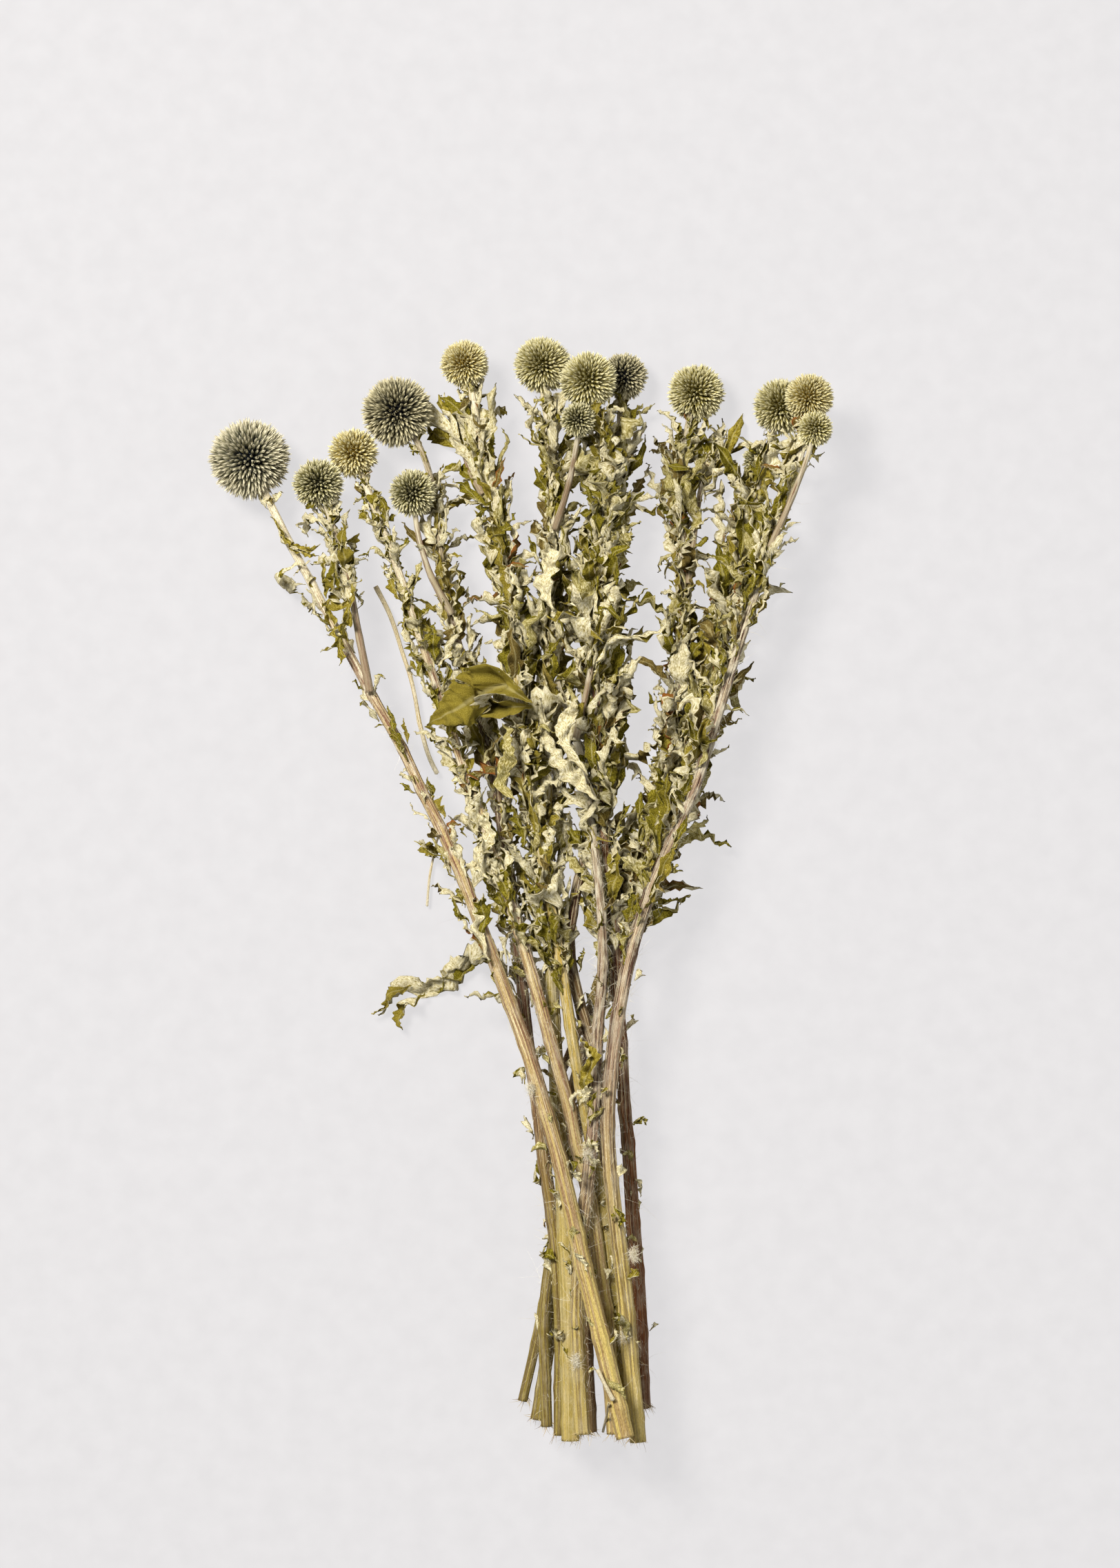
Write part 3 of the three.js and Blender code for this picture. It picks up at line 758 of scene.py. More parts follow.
# %% Midribs
STATIONS, ACROSS = 20, 7  # points along and across a leaf


def turned(vectors, about, angle):
    """Vectors turned about unit axes by angles, all row by row."""
    c, s = np.cos(angle)[:, None], np.sin(angle)[:, None]
    kept = about * np.sum(about * vectors, 1, keepdims=True)
    return vectors * c + np.cross(about, vectors) * s + kept * (1 - c)


def grow_midribs(base, ahead, face, length, dice, stations=STATIONS):
    """The midribs of many leaves: their paths, the way they go and the way their upper sides look.
    base, ahead and face are where each leaf starts, where it goes and where its upper side looks at first."""
    count = len(base)
    bend, twist = dice.normal(-0.1, 1.3, count), dice.normal(0, 2.2, count)
    t = np.linspace(0, 1, stations)
    phase = dice.uniform(0, 2 * np.pi, (count, 2))
    rate = 1 + 0.9 * np.sin(2 * np.pi * t[:, None] * 1.3 + phase[:, 0])
    swing = np.sin(2 * np.pi * t[:, None] * 1.7 + phase[:, 1])
    step = 1 / (stations - 1)
    tangent, normal = unit(ahead), unit(face - ahead * np.sum(ahead * face, 1, keepdims=True))
    place = base.copy()
    spine, tangents, normals = [], [], []
    for k in range(stations):
        spine.append(place.copy())
        tangents.append(tangent)
        normals.append(normal)
        side = np.cross(tangent, normal)
        curl = bend * rate[k] * step * (0.3 + 1.4 * t[k])
        tangent, normal = turned(tangent, side, curl), turned(normal, side, curl)
        normal = turned(normal, tangent, twist * step)
        tangent = unit(turned(tangent, normal, 0.9 * swing[k] * step))
        normal = unit(normal - tangent * np.sum(tangent * normal, 1, keepdims=True))
        place = place + tangent * length[:, None] * step
    return (np.stack(a, 1) for a in (spine, tangents, normals))


up, north = np.array([[0.0, 0, 1]]), np.array([[0.0, 1, 0]])
trial, _, _ = grow_midribs(np.zeros((1, 3)), north, up, np.array([30 * MM]), np.random.default_rng(1))
print("a midrib 30 mm long ends", round(np.linalg.norm(trial[0, -1]) / MM, 1), "mm from its start")

# %% [markdown]
# ## Blades
#
# The blade of a globe thistle's leaf is cut into sharp lobes and as thin as paper. It could be a flat
# card with a picture of a leaf that is clear round the lobes, but the curls would have no edge and the
# mesh no shape of its own. So each blade has its own outline. It is rolled to an arc over its midrib,
# crumpled by hills of three sizes, and given a lower side a quarter of a millimetre below, with a rim
# between. What would sink into the table is folded back up.

# %% Blades
LOWEST = 0.6 * MM  # the middle of a blade comes no nearer to the table
HALF_THICKNESS = 0.13 * MM
CRUMPLES = ((12, 1.5), (5, 1.3), (2.6, 0.5))  # how wide and how high the hills are, in millimetres
VEIN_LENGTH = 30 * MM  # the veins repeat over this length of leaf


def spread_blades(spine, tangent, normal, width, roll, tone, dice, across=ACROSS, depth=None):
    """Closed, crumpled leaf blades on their midribs. roll is how far the edges curl in, in radians, and tone,
    from 0 to 1, picks the colour of each leaf. depth is how deep the lobes are cut, or None for chance."""
    count, stations = spine.shape[:2]
    length = np.linalg.norm(np.diff(spine, axis=1), axis=2).sum(1)
    t = np.linspace(0, 1, stations)
    phase = dice.uniform(0, 1, (count, 4)) * 2 * np.pi
    side = np.cross(tangent, normal)
    # The outline: sharp lobes on both sides of the midrib, from a narrow stalk to a long point.
    envelope = np.clip(np.sin(np.pi * (0.06 + 0.94 * t) ** 0.8), 0.02, 1) * np.clip(t * 6, 0.3, 1)
    lobes = (dice.uniform(2.4, 4.2, count) * (length / (28 * MM)) ** 0.6)[:, None]
    depth = dice.uniform(0.15, 0.85, count)[:, None] if depth is None else depth
    peak = [(1 - np.abs(((lobes * t + phase[:, k:k + 1]) % 1) * 2 - 1)) ** 1.3 for k in (2, 3)]
    edges = [width[:, None] / 2 * envelope * (1 - depth * (1 - p)) for p in peak]
    u = np.linspace(-1, 1, across)
    outline = np.where(u[None, None] < 0, edges[0][..., None], edges[1][..., None])
    reach = np.abs(u) * outline
    fold = (0.3 + 0.45 * np.sin(phase[:, 1:2] + 4 * t[None]))[..., None]
    uneven_roll = roll[:, None] * (0.7 + 0.5 * np.sin(phase[:, 0:1] + 6 * t[None]))
    kappa = np.maximum(uneven_roll[..., None] / (width[:, None, None] / 2), 5)
    flat = (np.sin(fold + kappa * reach) - np.sin(fold)) / kappa
    lift = (np.cos(fold) - np.cos(fold + kappa * reach)) / kappa
    sweep = 1.1 * reach * (1 - 0.5 * t[None, :, None])
    points = spine[:, :, None] + side[:, :, None] * (np.sign(u) * flat)[..., None]
    points = points + normal[:, :, None] * lift[..., None] + tangent[:, :, None] * sweep[..., None]
    size = np.minimum(width / (9 * MM), 1.7)[:, None, None]
    crumple = 0
    for hill, height in CRUMPLES:
        crumple = crumple + ripple(points, hill * MM, int(dice.integers(1e9))) * height * MM
    crumple = crumple * size
    waves = np.sin(t[None, :, None] * lobes[..., None] * 13 + phase[:, 0][:, None, None])
    points = points + normal[:, :, None] * (crumple + waves * u**2 * 0.9 * MM * size)[..., None]
    height = points[..., 2]  # what would sink into the table is folded back up
    points[..., 2] = np.where(height < LOWEST, LOWEST + 0.35 * (LOWEST - height), height)
    skin = unit(np.cross(np.gradient(points, axis=2), np.gradient(points, axis=1)))
    upper, under = points + skin * HALF_THICKNESS, points - skin * HALF_THICKNESS
    sheet = grid_faces(stations, across, False)
    each = stations * across
    edge = np.concatenate([
        np.arange(across), np.arange(1, stations) * across + across - 1,
        each - 2 - np.arange(across - 1), (stations - 2 - np.arange(stations - 2)) * across])
    following = np.roll(edge, -1)
    rim = np.stack([edge, following, following + each, edge + each], 1)
    one_leaf = np.concatenate([sheet[:, [0, 3, 2, 1]], sheet + each, rim])
    all_points = np.stack([upper, under], 1).reshape(-1, 3)
    shape = (count, 2, stations, across)
    top = np.broadcast_to(np.array([1.0, 0.0])[None, :, None, None], shape).ravel()
    tones = np.broadcast_to(tone[:, None, None, None], shape).ravel()
    along = (t[None] * length[:, None] / VEIN_LENGTH)[:, None, :, None]
    places = (u[None, None, None], along, np.arange(count)[:, None, None, None])
    veins = np.stack([np.broadcast_to(place, shape) for place in places], -1)
    numbers = {"top": top, "tone": tones, "veins": veins.reshape(-1, 3)}
    return all_points, many(one_leaf, count, 2 * each), numbers


print(2 * STATIONS * ACROSS, "points in a leaf of a tuft")

# %% [markdown]
# ## Leaf colour
#
# The upper side is mottled olive, with painted shade in the hollows of its bump and a painted highlight on
# its crests, some leaves yellow and a few rusty at their edges.
# The lower side is felted white, or greenish where the felt has worn thin, with dark patches of painted
# shade in the felt. The midrib is a pale line, and the side veins cross the blade as low ridges. Two
# materials, one for each side, would do it, but a rim has to blend from one to the other. So there is one
# material, and a number at each point says which side it is on.

# %% Leaf material


def leaf_material():
    """Olive above, woolly white below."""
    material, tree, shader = new_material("leaf", 0.85)
    tone = attribute(tree, "tone").outputs["Fac"]
    veins = attribute(tree, "veins").outputs["Vector"]
    parts = node(tree, "ShaderNodeSeparateXYZ", _0=veins)
    mottle_with_painted_shade = node(tree, "ShaderNodeTexNoise", Scale=170.0, Detail=6.0, Roughness=0.7).outputs[0]
    # The mottle is also the bump's height, so these ramps paint shade into its hollows and a highlight on its
    # crests.
    olive = ramp(
        tree, mottle_with_painted_shade, (0.34, linear(42, 36, 2)), (0.48, linear(108, 98, 16)), (0.64, linear(186, 174, 64)))
    yellow = ramp(
        tree, mottle_with_painted_shade, (0.34, linear(82, 68, 10)), (0.48, linear(142, 126, 38)), (0.68, linear(204, 190, 98)))
    brown = ramp(
        tree, mottle_with_painted_shade, (0.34, linear(60, 46, 14)), (0.48, linear(112, 94, 42)), (0.68, linear(176, 158, 98)))
    top = mix(tree, between(tree, tone, 0.46, 0.6), olive, yellow)
    top = mix(tree, between(tree, tone, 0.74, 0.8), top, brown)
    width = maths(tree, "ABSOLUTE", parts.outputs[0])
    rusting = maths(tree, "MULTIPLY", between(tree, width, 0.5, 1.0), between(tree, tone, 0.92, 0.95))
    top = mix(tree, rusting, top, linear(150, 84, 30))
    top = mix(tree, between(tree, width, 0.04, 0.16, 0.45, 0.0), top, linear(204, 194, 140))
    stretch = node(tree, "ShaderNodeVectorMath", {"operation": "MULTIPLY"}, _0=veins, _1=(3, 8, 1))
    across = stretch.outputs[0]
    felt_and_painted_shade = node(tree, "ShaderNodeTexNoise", Vector=across, Scale=2.4, Detail=6.0, Roughness=0.7).outputs[0]
    # The dark stop of each felt ramp is a painted shade in the white felt, over the felt's own texture.
    under = ramp(
        tree, felt_and_painted_shade, (0.36, linear(142, 126, 62)), (0.46, linear(218, 207, 160)), (0.6, linear(253, 247, 220)))
    green_under = ramp(
        tree, felt_and_painted_shade, (0.36, linear(104, 90, 26)), (0.5, linear(180, 168, 98)), (0.64, linear(240, 232, 190)))
    under = mix(tree, between(tree, tone, 0.26, 0.4, 1.0, 0.0), under, green_under)
    colour = mix(tree, attribute(tree, "top").outputs["Fac"], under, top)
    speckled = node(tree, "ShaderNodeGroup", {"node_tree": flecks}, Size=900.0, Depth=0.6, Colour=colour)
    tree.links.new(speckled.outputs["Colour"], shader.inputs["Base Color"])
    waves = maths(tree, "SINE", maths(tree, "MULTIPLY_ADD", parts.outputs[1], 70.0, width))
    height = maths(tree, "MULTIPLY_ADD", waves, 0.12, mottle_with_painted_shade)
    bump = node(tree, "ShaderNodeBump", Height=height, Strength=0.75, Distance=0.001)
    tree.links.new(bump.outputs[0], shader.inputs["Normal"])
    return material


leaf = leaf_material()
print(len(leaf.node_tree.nodes), "nodes in the leaf's shader")

# %% [markdown]
# ## Tufts
#
# Each solid tuft stands for the leaves of one stretch of its stem. They leave it in a spiral, lie close
# along it and point to the heads. One leaf could be copied along the stem, but copies show. So each leaf
# of a tuft has its own numbers from the tuft's dice, and only the plan of a tuft is fixed.

# %% The plan of the tufts
# For each tuft: where it starts and ends along its stem (0 foot, 1 head), how many leaves, how long in
# millimetres, and the share of them that turn their white side out.
TUFTS = {
    "a2": (0.80, 0.88, 12, 17, 0.15), "a3": (0.48, 0.76, 34, 18, 0.25), "b1": (0.42, 0.94, 52, 18, 0.2),
    "c2": (0.50, 0.97, 136, 21, 0.55), "d1": (0.70, 0.93, 78, 23, 0.3), "d2": (0.42, 0.72, 74, 23, 0.3),
    "f1": (0.76, 0.97, 92, 29, 0.55), "f2": (0.60, 0.78, 84, 31, 0.5), "f3": (0.42, 0.62, 66, 27, 0.45),
    "g1": (0.76, 0.97, 92, 29, 0.4), "g2": (0.44, 0.78, 116, 31, 0.4), "h1": (0.80, 0.97, 96, 29, 0.5),
    "h2": (0.44, 0.82, 136, 32, 0.4), "i1": (0.54, 0.96, 124, 31, 0.35), "j1": (0.74, 0.97, 92, 29, 0.4),
    "j2": (0.42, 0.76, 110, 31, 0.4), "k1": (0.48, 0.95, 146, 32, 0.35), "l1": (0.74, 0.97, 70, 27, 0.4),
    "l2": (0.46, 0.74, 50, 25, 0.35), "m1": (0.50, 0.97, 140, 32, 0.4),
}
LEANING = {"l1": 0.9 * np.pi, "l2": np.pi}  # these two grow to the left of their stem only
TONES = {"d1": (0.55, 0.88), "d2": (0.5, 0.88), "c2": (0.25, 0.6), "a2": (0.4, 0.8), "b1": (0.35, 0.8)}


print(len(TUFTS), "tufts with", sum(plan[2] for plan in TUFTS.values()), "leaves")

# %% Leaves along a stem


def stem_leaves(
    letter, start, end, count, size, pale, seed, facing=None, grid=(STATIONS, ACROSS), tones=(0, 1)
):
    """The leaves along one stretch of a stem. facing is the side they grow on, in radians from the right, and
    tones is the range of their tones."""
    dice = np.random.default_rng(seed)
    path = axes[letter]
    share = np.clip(np.linspace(start, end, count) + dice.normal(0, 0.008, count), 0.01, 0.99)
    place = (share * len(path)).astype(int)
    ahead, right, over = (part[place] for part in frames_along(path[:, :3]))
    angle = np.arange(count) * 2.4 + dice.normal(0, 0.4, count)
    if facing is not None:
        angle = facing + dice.normal(0, 0.75, count)
    out = np.cos(angle)[:, None] * right + np.sin(angle)[:, None] * over
    lean = dice.uniform(0.0, 0.6, count)
    leave = np.cos(lean)[:, None] * ahead + np.sin(lean)[:, None] * out
    face = np.sin(lean)[:, None] * ahead - np.cos(lean)[:, None] * out
    face = turned(face, leave, dice.normal(0, 0.7, count) + np.where(dice.random(count) < pale, 0, np.pi))
    base = path[place, :3] + out * (path[place, 3:4] + dice.uniform(-1, 0.6, count)[:, None] * MM)
    length = size * MM * dice.uniform(0.45, 1.5, count) * np.clip((1.03 - share) / 0.11, 0.4, 1)
    width = (4.3 * MM + 0.2 * length) * dice.uniform(0.6, 1.4, count)
    midribs = grow_midribs(base, leave, face, length, dice, grid[0])
    roll, tone = dice.uniform(0.4, 3.6, count), dice.uniform(*tones, count)
    return spread_blades(*midribs, width, roll, tone, dice, grid[1])


tufts_faces = 0
for number, (name, plan) in enumerate(TUFTS.items()):
    points, faces, numbers = stem_leaves(
        name[0], *plan, 500 + number, LEANING.get(name), tones=TONES.get(name, (0, 1)))
    mesh_piece("leaves_" + name + "_crumpled", points, [faces], leaf, numbers, ["leaves_" + name])
    tufts_faces += len(faces)
print(tufts_faces, "faces in tufts")

# %% [markdown]
# ## Leaves that lie loose
#
# A few leaves stand out of the mass: a long curled one that hangs off the left stem, a broad folded one
# over the middle of the bunch, and some scraps caught between the stems. They can't be thrown by dice, so
# their midribs are listed one by one, as points over the pile of stems.

# %% How high the pile is
ON_TABLE = 1.5 * MM  # the height of a leaf with no stem below it


def pile_height(x, y, around=7 * MM):
    """How high the stems lie under and around a place on the table."""
    stems = np.concatenate(list(axes.values()))
    near = np.hypot(stems[:, 0] - x, stems[:, 1] - y) < around
    return (stems[near, 2] + stems[near, 3]).max() if near.any() else ON_TABLE


print("highest stem at the middle of the bunch:", round(pile_height(0, 0, 30 * MM) / MM, 1), "mm")

# %% Laying one leaf
LAID_STATIONS, LAID_ACROSS = 46, 15


def laid_leaf(knots, width, roll, tone, lift, upper, wobble, seed, depth=None):
    """One leaf whose midrib goes through knots, in millimetres, lift above the pile. upper is 1 for olive
    side up, and wobble is how far the leaf tips from side to side, in radians."""
    dice = np.random.default_rng(seed)
    flat = np.array(knots) * MM
    heights = [pile_height(*knot, 12 * MM) + lift * MM for knot in flat]
    path = smooth_path(np.column_stack([flat, heights]), 0.5 * MM)
    spine = path[np.linspace(0, len(path) - 1, LAID_STATIONS).astype(int)]
    tangent = unit(np.gradient(spine, axis=0))
    normal = unit(np.array([0, 0, upper]) - tangent * tangent[:, 2:] * upper)
    normal = turned(normal, tangent, wobble * np.sin(np.linspace(0, 5, len(spine)) + seed))
    midrib = (spine[None], tangent[None], normal[None])
    shape = (np.array([width * MM]), np.array([roll]), np.array([tone]))
    return spread_blades(*midrib, *shape, dice, LAID_ACROSS, depth)


def joined(parts):
    """Several shapes as one: points, faces and numbers."""
    starts = np.cumsum([0] + [len(part[0]) for part in parts])
    points = np.concatenate([part[0] for part in parts])
    faces = np.concatenate([part[1] + start for part, start in zip(parts, starts)])
    return points, faces, {key: np.concatenate([part[2][key] for part in parts]) for key in parts[0][2]}


print(2 * LAID_STATIONS * LAID_ACROSS, "points in a leaf laid by hand")

# %% The long curled leaf and the broad folded leaf
# Each: midrib in millimetres, width, roll of the edges, tone, lift over the pile, side that looks up, wobble.
# Both leaves are torn, so each is made of several blades.
LONG_CURLED = [
    (
        [(-22.4, -37.1), (-41.4, -46.8), (-56.3, -56.9), (-68.2, -53.9), (-84.2, -71)],
        20, 2.0, 0.42, 3, -1, 1.1,
    ),
    ([(-22.4, -39), (-34, -44), (-44, -51), (-56, -58)], 12, 1.8, 0.2, 5, 1, 0.9),
    ([(-59.3, -57.2), (-67.5, -61.7), (-71.9, -69.9), (-71.2, -78.8)], 12, 2.0, 0.7, 4, 1, 0.7),
    ([(-66, -54), (-76, -60), (-80, -66), (-88, -70)], 10, 1.8, 0.75, 6, 1, 0.7),
]
BROAD_FOLDED = [
    ([(0.6, 98.6), (-14.3, 107.1), (-25, 105.9), (-39.9, 95.8), (-56.8, 88.1)], 30, 0.5, 0.59, 25, 1, 0.25),
    ([(0.6, 96.6), (-12, 97), (-24, 99), (-36, 91), (-47, 87)], 18, 0.6, 0.62, 13, 1, 0.3),
]
print(len(LONG_CURLED), "blades in the long leaf and", len(BROAD_FOLDED), "in the broad one")

# %% Single leaves between the stems
# The same columns, from the heads on the left to the feet.
STRAYS = [
    ([(-140, 200.6), (-137.4, 195), (-133.7, 186.4), (-124, 182.3), (-114.3, 184.6)], 9, 2.2, 0.7, 2, 1, 0.7),
    ([(-136, 190), (-131, 184), (-124, 181), (-116, 178)], 8, 2.0, 0.6, 4, 1, 0.7),
    (
        [(-119.9, 176.4), (-127, 174.1), (-133.7, 169.7), (-132.9, 163.7), (-126.2, 163.7)],
        10, 2.4, 0.5, 3, -1, 0.7,
    ),
    (
        [(-109.5, 193.9), (-115.8, 197.6), (-122.9, 197.6), (-125.1, 192.7), (-121, 189)],
        9, 1.8, 0.5, 3, -1, 0.7,
    ),
    ([(-111.3, 155.5), (-112.1, 162.2), (-111.7, 169.7), (-109.9, 177.9)], 8, 2.2, 0.55, 3, 1, 0.7),
    (
        [(-93.5, 166.7), (-95.7, 157.8), (-101.7, 151.1), (-108.4, 154.1), (-114.3, 149.6)],
        10, 2.2, 0.62, 5, 1, 0.7,
    ),
    ([(-97.2, 155.5), (-99.8, 143.6), (-103.5, 132.5), (-100.9, 119.5)], 14, 2.0, 0.56, 4, 1, 0.7),
    ([(-103.9, 132.5), (-108.4, 141.8), (-109.9, 149.2), (-112.8, 155.5)], 11, 2.2, 0.58, 3, 1, 0.7),
    ([(24.8, -113), (29.3, -101.9), (30, -88.9), (26.3, -79.6)], 12, 1.4, 0.6, 3, 1, 0.7),
    ([(36.7, 46.9), (24, 58), (14.4, 69.3), (7, 88), (3.2, 99)], 15, 1.7, 0.5, 22, -1, 0.6),
    ([(30, 60), (22, 75), (20, 92), (26, 104)], 14, 1.2, 0.4, 20, -1, 0.6),
    ([(-10, 44), (-14, 58), (-12, 74), (-16, 88)], 12, 2.0, 0.26, 16, -1, 0.9),
    ([(-23, 2), (-28, 16), (-24, 30), (-30, 41)], 13, 1.2, 0.45, 8, -1, 0.6),
    ([(12, 148), (7, 162), (10, 178), (4, 190)], 14, 1.0, 0.5, 22, -1, 0.6),
    ([(-48.1, 15.3), (-53.3, 18.7), (-59.3, 21.6), (-64.8, 24.2)], 9, 1.6, 0.56, 2, 1, 0.7),
    ([(-22.1, -39.4), (-26.5, -27.5), (-28.8, -14.5), (-25.8, -3.3)], 11, 1.6, 0.5, 3, -1, 0.7),
    ([(27.4, -139.8), (31.9, -137.2), (36.7, -140.6)], 8, 0.8, 0.5, 2, -1, 0.8),
    ([(29.3, -143.5), (33, -146.5), (35.2, -150.2)], 7, 0.8, 0.4, 2, -1, 0.8),
    ([(45.3, -169.6), (47.5, -175.5), (46.8, -182.2)], 6, 2.0, 0.15, 2, 1, 0.8),
    ([(45.4, -227.6), (49.4, -232.8), (52, -241.7)], 8, 1.4, 0.1, 2, -1, 0.8),
    ([(45.3, -228.4), (49.7, -232.8), (53.4, -239.5)], 6, 1.4, 0.45, 2, -1, 0.8),
    ([(40.4, -259.2), (45.3, -264.8), (50.1, -270.8)], 7, 1.6, 0.15, 2, -1, 0.8),
    ([(22.6, -194.1), (26.7, -198.6), (30, -203.8)], 7, 0.6, 0.5, 1, -1, 0.4),
    ([(20.3, -151), (24.1, -154), (27.4, -156.2)], 6, 0.8, 0.5, 1, -1, 0.4),
    ([(54.2, -127.9), (59, -126.4), (62, -129.4)], 6, 1.4, 0.1, 2, 1, 0.8),
    ([(56.1, -158.4), (59.8, -162.1), (57.5, -168.1)], 6, 1.2, 0.5, 2, -1, 0.8),
    ([(25.5, -116.8), (27.8, -111.2), (31.5, -107.5)], 8, 0.8, 0.5, 2, -1, 0.6),
    ([(33.7, -120.5), (32.2, -113), (35.2, -108.6)], 6, 1.6, 0.15, 2, 1, 0.6),
]
LAID = {  # the blades, the solids they stand for, and how deep their lobes are cut
    "leaf_long_curled": (LONG_CURLED, ["leaves_a1"], None),
    "leaf_broad_folded": (BROAD_FOLDED, ["leaves_c1"], 0.12),
    "leaves_stray": (STRAYS, [], None),
}
for name, (plan, node_names, depth) in LAID.items():
    blades = [laid_leaf(*row, 700 + number, depth) for number, row in enumerate(plan)]
    points, faces, numbers = joined(blades)
    mesh_piece(name, points, [faces], leaf, numbers, node_names)
print(sum(len(plan) for plan, _, _ in LAID.values()), "blades laid by hand")

# %% [markdown]
# ## Scraps, collars and rosettes
#
# Low down most leaves have broken off, and only small dry scraps of them still cling to the stems. Under
# each head sits a collar of small bracts, and each bud sits in a rosette of pale leaves. They could be
# modelled one by one, but they are the same leaves, only smaller, so they are grown in the same way with
# fewer points.

# %% Scraps, collars and rosettes
COARSE = (11, 5)  # points along and across a small leaf
scraps = []
for number, letter in enumerate(MAIN_LETTERS):
    scraps.append(stem_leaves(letter, 0.08, 0.6, 24, 10, 0.7, 800 + number, grid=COARSE))
for number, letter in enumerate(axes):
    scraps.append(stem_leaves(letter, 0.97, 0.985, 9, 16, 0.5, 830 + number, grid=COARSE))
for number, letter in enumerate("nos"):
    scraps.append(stem_leaves(letter, 0.7, 0.985, 22, 34, 0.9, 845 + number, grid=COARSE, tones=(0.45, 0.7)))
points, faces, numbers = joined(scraps)
mesh_piece("leaf_scraps", points, [faces], leaf, numbers, [])
print(len(scraps), "groups of scraps")

# %% [markdown]
# ## Broken twigs
#
# Some thin side shoots have snapped off and lie between the stems, bleached and bare. A twig could be a
# plain curve with a thickness, but the skin of the stems already has ribs, joints and a cut end, so a
# twig is a small stem on a path of its own.

# %% Twigs
# Each: its path in millimetres, its radius, and how high it lies over the pile.
TWIGS = [
    (
        [
            (-86.1, 163.4), (-79, 149.2), (-71.2, 125.4), (-64.1, 103.5), (-60.4, 88.6), (-54.4, 68.5),
            (-51.1, 61.8),
        ],
        1.3, 3,
    ),
    ([(35.2, 44.7), (29.3, 58.1), (19.2, 74.5)], 0.9, 10),
    ([(-51.8, 29.1), (-54.1, 17.2), (-56.3, 2.3), (-57.4, -11.1)], 0.7, 2),
    ([(34.8, -255.5), (38.5, -263), (43, -271.5)], 1.2, 1),
    ([(40.4, -273), (39.5, -283), (37.8, -293.5)], 0.8, 1),
]
twigs = []
for number, (knots, radius, lift) in enumerate(TWIGS):
    flat = np.array(knots) * MM
    heights = [pile_height(*knot) + (radius + lift) * MM for knot in flat]
    path = smooth_path(np.column_stack([flat, heights, np.full(len(flat), radius * MM)]), STEP)
    twigs.append(stem_skin("twig", path, 12, 850 + number))
points, faces, numbers = joined(twigs)
points[:, 2] = np.maximum(points[:, 2], TABLE_GAP)
mesh_piece("twigs", points, [faces], bark_materials["twig"], numbers, [])
print(len(twigs), "twigs")

# %% [markdown]
# ## Wool
#
# Fine white hairs cover the living plant. On the dried one they stand off the stems as fuzz, hang between
# them as cobwebs and gather in little knots. Blender can grow hair as curves, but what is exported has to
# be a mesh. So each hair is a ribbon of four steps, a few hundredths of a millimetre wide at its tip, and
# bent by its own dice.

# %% Hairs


def hairs(base, ahead, length, width, dice):
    """Curved ribbons that leave base the way ahead points."""
    t = np.linspace(0, 1, 5)
    count = len(base)
    bend = unit(dice.normal(size=(count, 3))) * dice.uniform(0.3, 1.3, count)[:, None]
    way = ahead[:, None] * t[None, :, None] + bend[:, None] * (t**2)[None, :, None] * 0.7
    spine = base[:, None] + length[:, None, None] * way
    side = unit(np.cross(ahead, unit(dice.normal(size=(count, 3)))))
    half = side[:, None] * (width[:, None] / 2 * (1 - 0.8 * t))[..., None]
    points = np.stack([spine - half, spine + half], 2)
    tone = np.repeat(dice.random(count), 10)
    return points.reshape(-1, 3), many(grid_faces(5, 2, False), count, 10), {"tone": tone}


# %% Colours of hairs and fibres


def strand_material(name, roughness, depth, dark, middle, pale):
    """Strands of three shades, each strand of one of them, with flecks."""
    material, tree, shader = new_material(name, roughness)
    tone = attribute(tree, "tone").outputs["Fac"]
    strands = ramp(tree, tone, (0.0, dark), (0.5, middle), (1.0, pale))
    speckled = node(tree, "ShaderNodeGroup", {"node_tree": flecks}, Size=1500.0, Depth=depth, Colour=strands)
    tree.links.new(speckled.outputs["Colour"], shader.inputs["Base Color"])
    return material


WHITES = (linear(214, 200, 160), linear(240, 234, 214), linear(252, 250, 240))
BROWNS = (linear(120, 92, 56), linear(190, 166, 112), linear(232, 216, 172))
wool = strand_material("wool", 0.9, 0.4, *WHITES)
fibre = strand_material("torn_fibre", 0.85, 0.5, *BROWNS)
print("materials:", len(bpy.data.materials))

# %% Wool on the stems
HAIR_GAP = 0.15 * MM  # hairs come no nearer to the table


def stem_wool(letter, count, seed):
    """The hairs of one stem, thicker towards its head."""
    dice = np.random.default_rng(seed)
    path = axes[letter]
    place = (dice.random(count) ** 0.7 * 0.93 * len(path)).astype(int) + 3
    ahead, right, over = (part[place] for part in frames_along(path[:, :3]))
    angle = dice.uniform(0, 2 * np.pi, count)
    out = np.cos(angle)[:, None] * right + np.sin(angle)[:, None] * over
    base = path[place, :3] + out * path[place, 3:4] * 0.98
    along = dice.normal(0.2, 0.9, count)[:, None]
    length = (1.5 + np.minimum(dice.exponential(2.9, count), 11)) * MM
    way = unit(out * dice.uniform(0.25, 1, count)[:, None] + ahead * along)
    return hairs(base, way, length, dice.uniform(0.05, 0.16, count) * MM, dice)


WOOL = {"a": 700, "c": 1200, "d": 1100, "f": 900, "g": 900, "h": 1900, "i": 900, "j": 1900, "k": 1900,
        "l": 2400, "m": 1000, "p": 2400}
for number, (letter, count) in enumerate(WOOL.items()):
    points, faces, numbers = stem_wool(letter, count, 900 + number)
    points[:, 2] = np.maximum(points[:, 2], HAIR_GAP)
    mesh_piece("wool_" + letter, points, [faces], wool, numbers, [])
print(sum(WOOL.values()), "hairs on the stems")

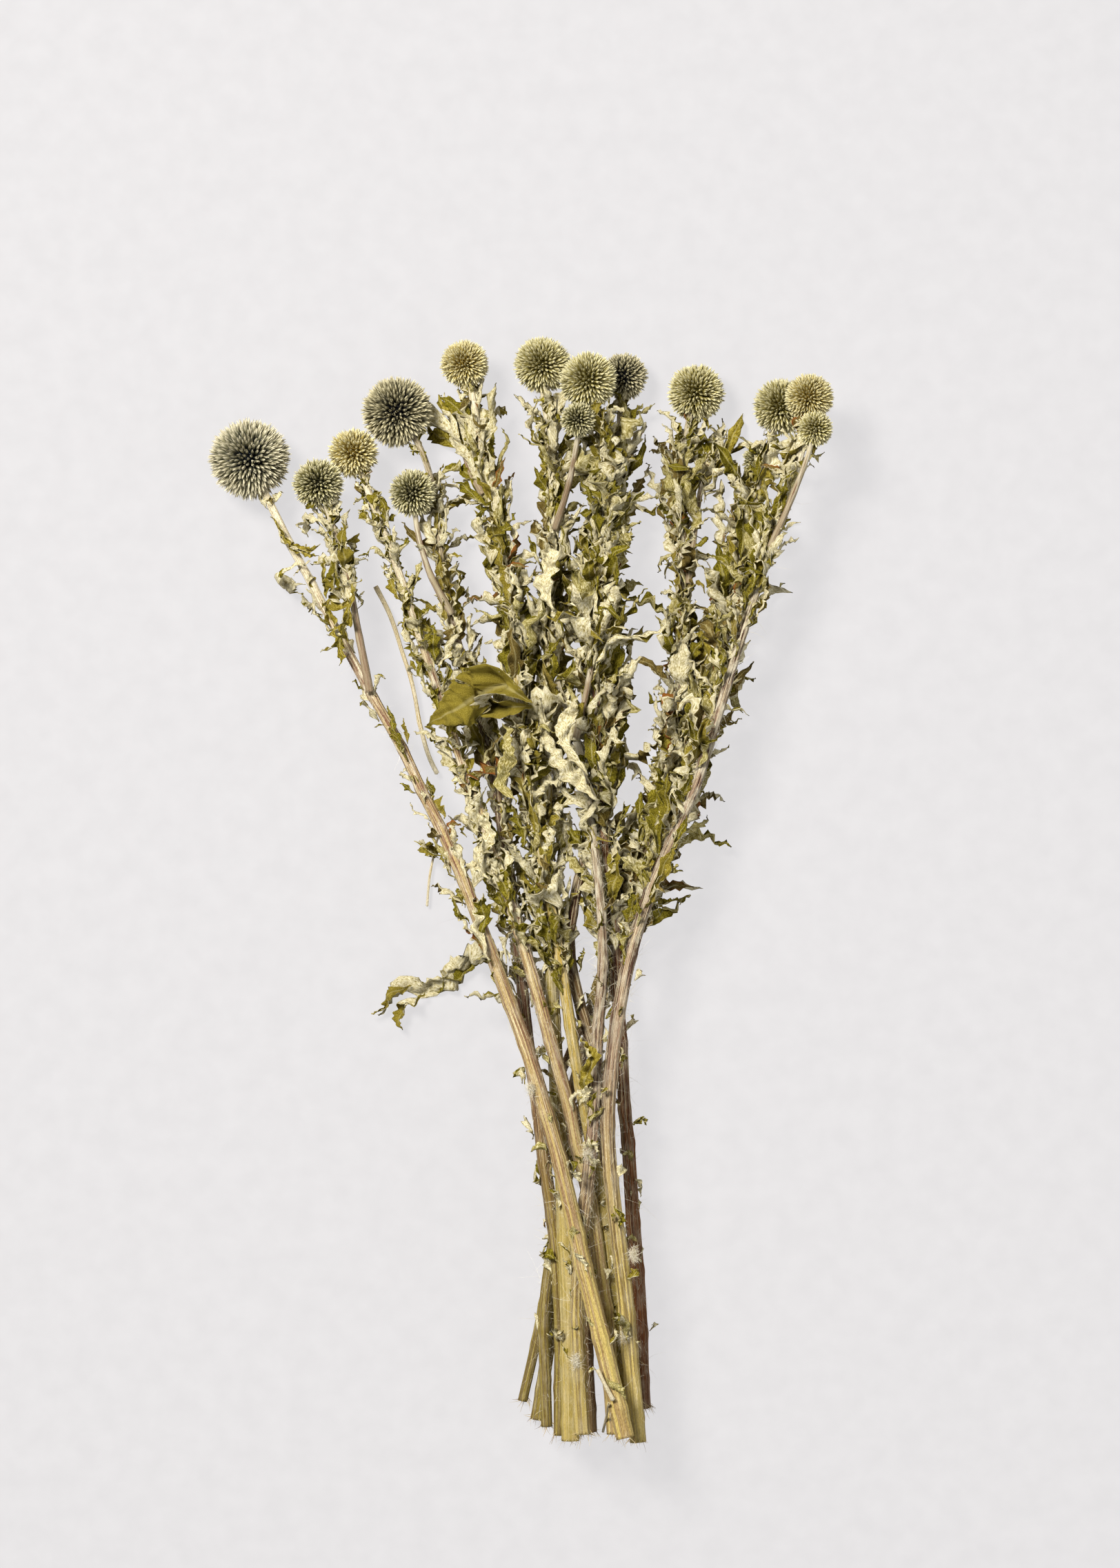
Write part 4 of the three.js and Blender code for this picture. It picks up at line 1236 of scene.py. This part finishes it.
# %% [markdown]
# ## Knots of wool
#
# Where leaves have broken off, loose wool has felted into small white knots on the stems. A knot could be
# a rough ball with a noise on it, but it would look like a stone. It is made of the hairs that the stems
# have, short, close together and pointing every way.

# %% Knots of wool
KNOTS = [  # place and size in millimetres
    ((54.6, -196.7), 4), ((30, -142.8), 4), ((-0.5, -107.5), 3.5), ((23.7, -252.5), 4), ((49.7, -239.5), 4),
]
KNOT_HAIRS = 520
tangles = []
for number, (place, size) in enumerate(KNOTS):
    dice = np.random.default_rng(950 + number)
    flat = np.array(place) * MM
    centre = np.array([*flat, pile_height(*flat) + 0.6 * MM])
    start = centre + dice.normal(0, size * 0.32 * MM, (KNOT_HAIRS, 3)) * [0.8, 1.5, 0.5]
    way = unit(dice.normal(size=(KNOT_HAIRS, 3)) + [0, 0, 0.3])
    length = dice.uniform(0.35, 0.9, KNOT_HAIRS) * size * MM
    tangles.append(hairs(start, way, length, dice.uniform(0.08, 0.2, KNOT_HAIRS) * MM, dice))
points, faces, numbers = joined(tangles)
points[:, 2] = np.maximum(points[:, 2], HAIR_GAP)
mesh_piece("wool_knots", points, [faces], wool, numbers, [])

print(len(KNOTS), "knots of", KNOT_HAIRS, "hairs")

# %% [markdown]
# ## Torn fibres
#
# Cutting tore some fibres out of the feet, most of all out of two of them. They could be a rough edge in
# the bark's mesh, but single fibres stand out further than that. They are the same ribbons as the hairs,
# only coarser and brown, and they lean out of the rim of each foot.

# %% Torn fibres
torn = []
for number, letter in enumerate(MAIN_LETTERS):
    dice = np.random.default_rng(980 + number)
    count = 70 if letter in "hp" else 26  # the feet of h and p are the most torn
    path = axes[letter]
    ahead, right, over = (part[0] for part in frames_along(path[:, :3]))
    angle = dice.uniform(0, 2 * np.pi, count)[:, None]
    out = np.cos(angle) * right + np.sin(angle) * over
    on_rim = path[0, :3] + out * path[0, 3] * dice.uniform(0.6, 1, (count, 1))
    start = on_rim + ahead * dice.uniform(0, 3, (count, 1)) * MM
    way = unit(-ahead * dice.uniform(0.3, 1, (count, 1)) + out * dice.uniform(0.1, 0.9, (count, 1)))
    torn.append(hairs(start, way, dice.uniform(1.5, 6, count) * MM, dice.uniform(0.2, 0.5, count) * MM, dice))
points, faces, numbers = joined(torn)
points[:, 2] = np.maximum(points[:, 2], HAIR_GAP)
mesh_piece("torn_fibres", points, [faces], fibre, numbers, [])
print(len(faces), "faces of torn fibre")
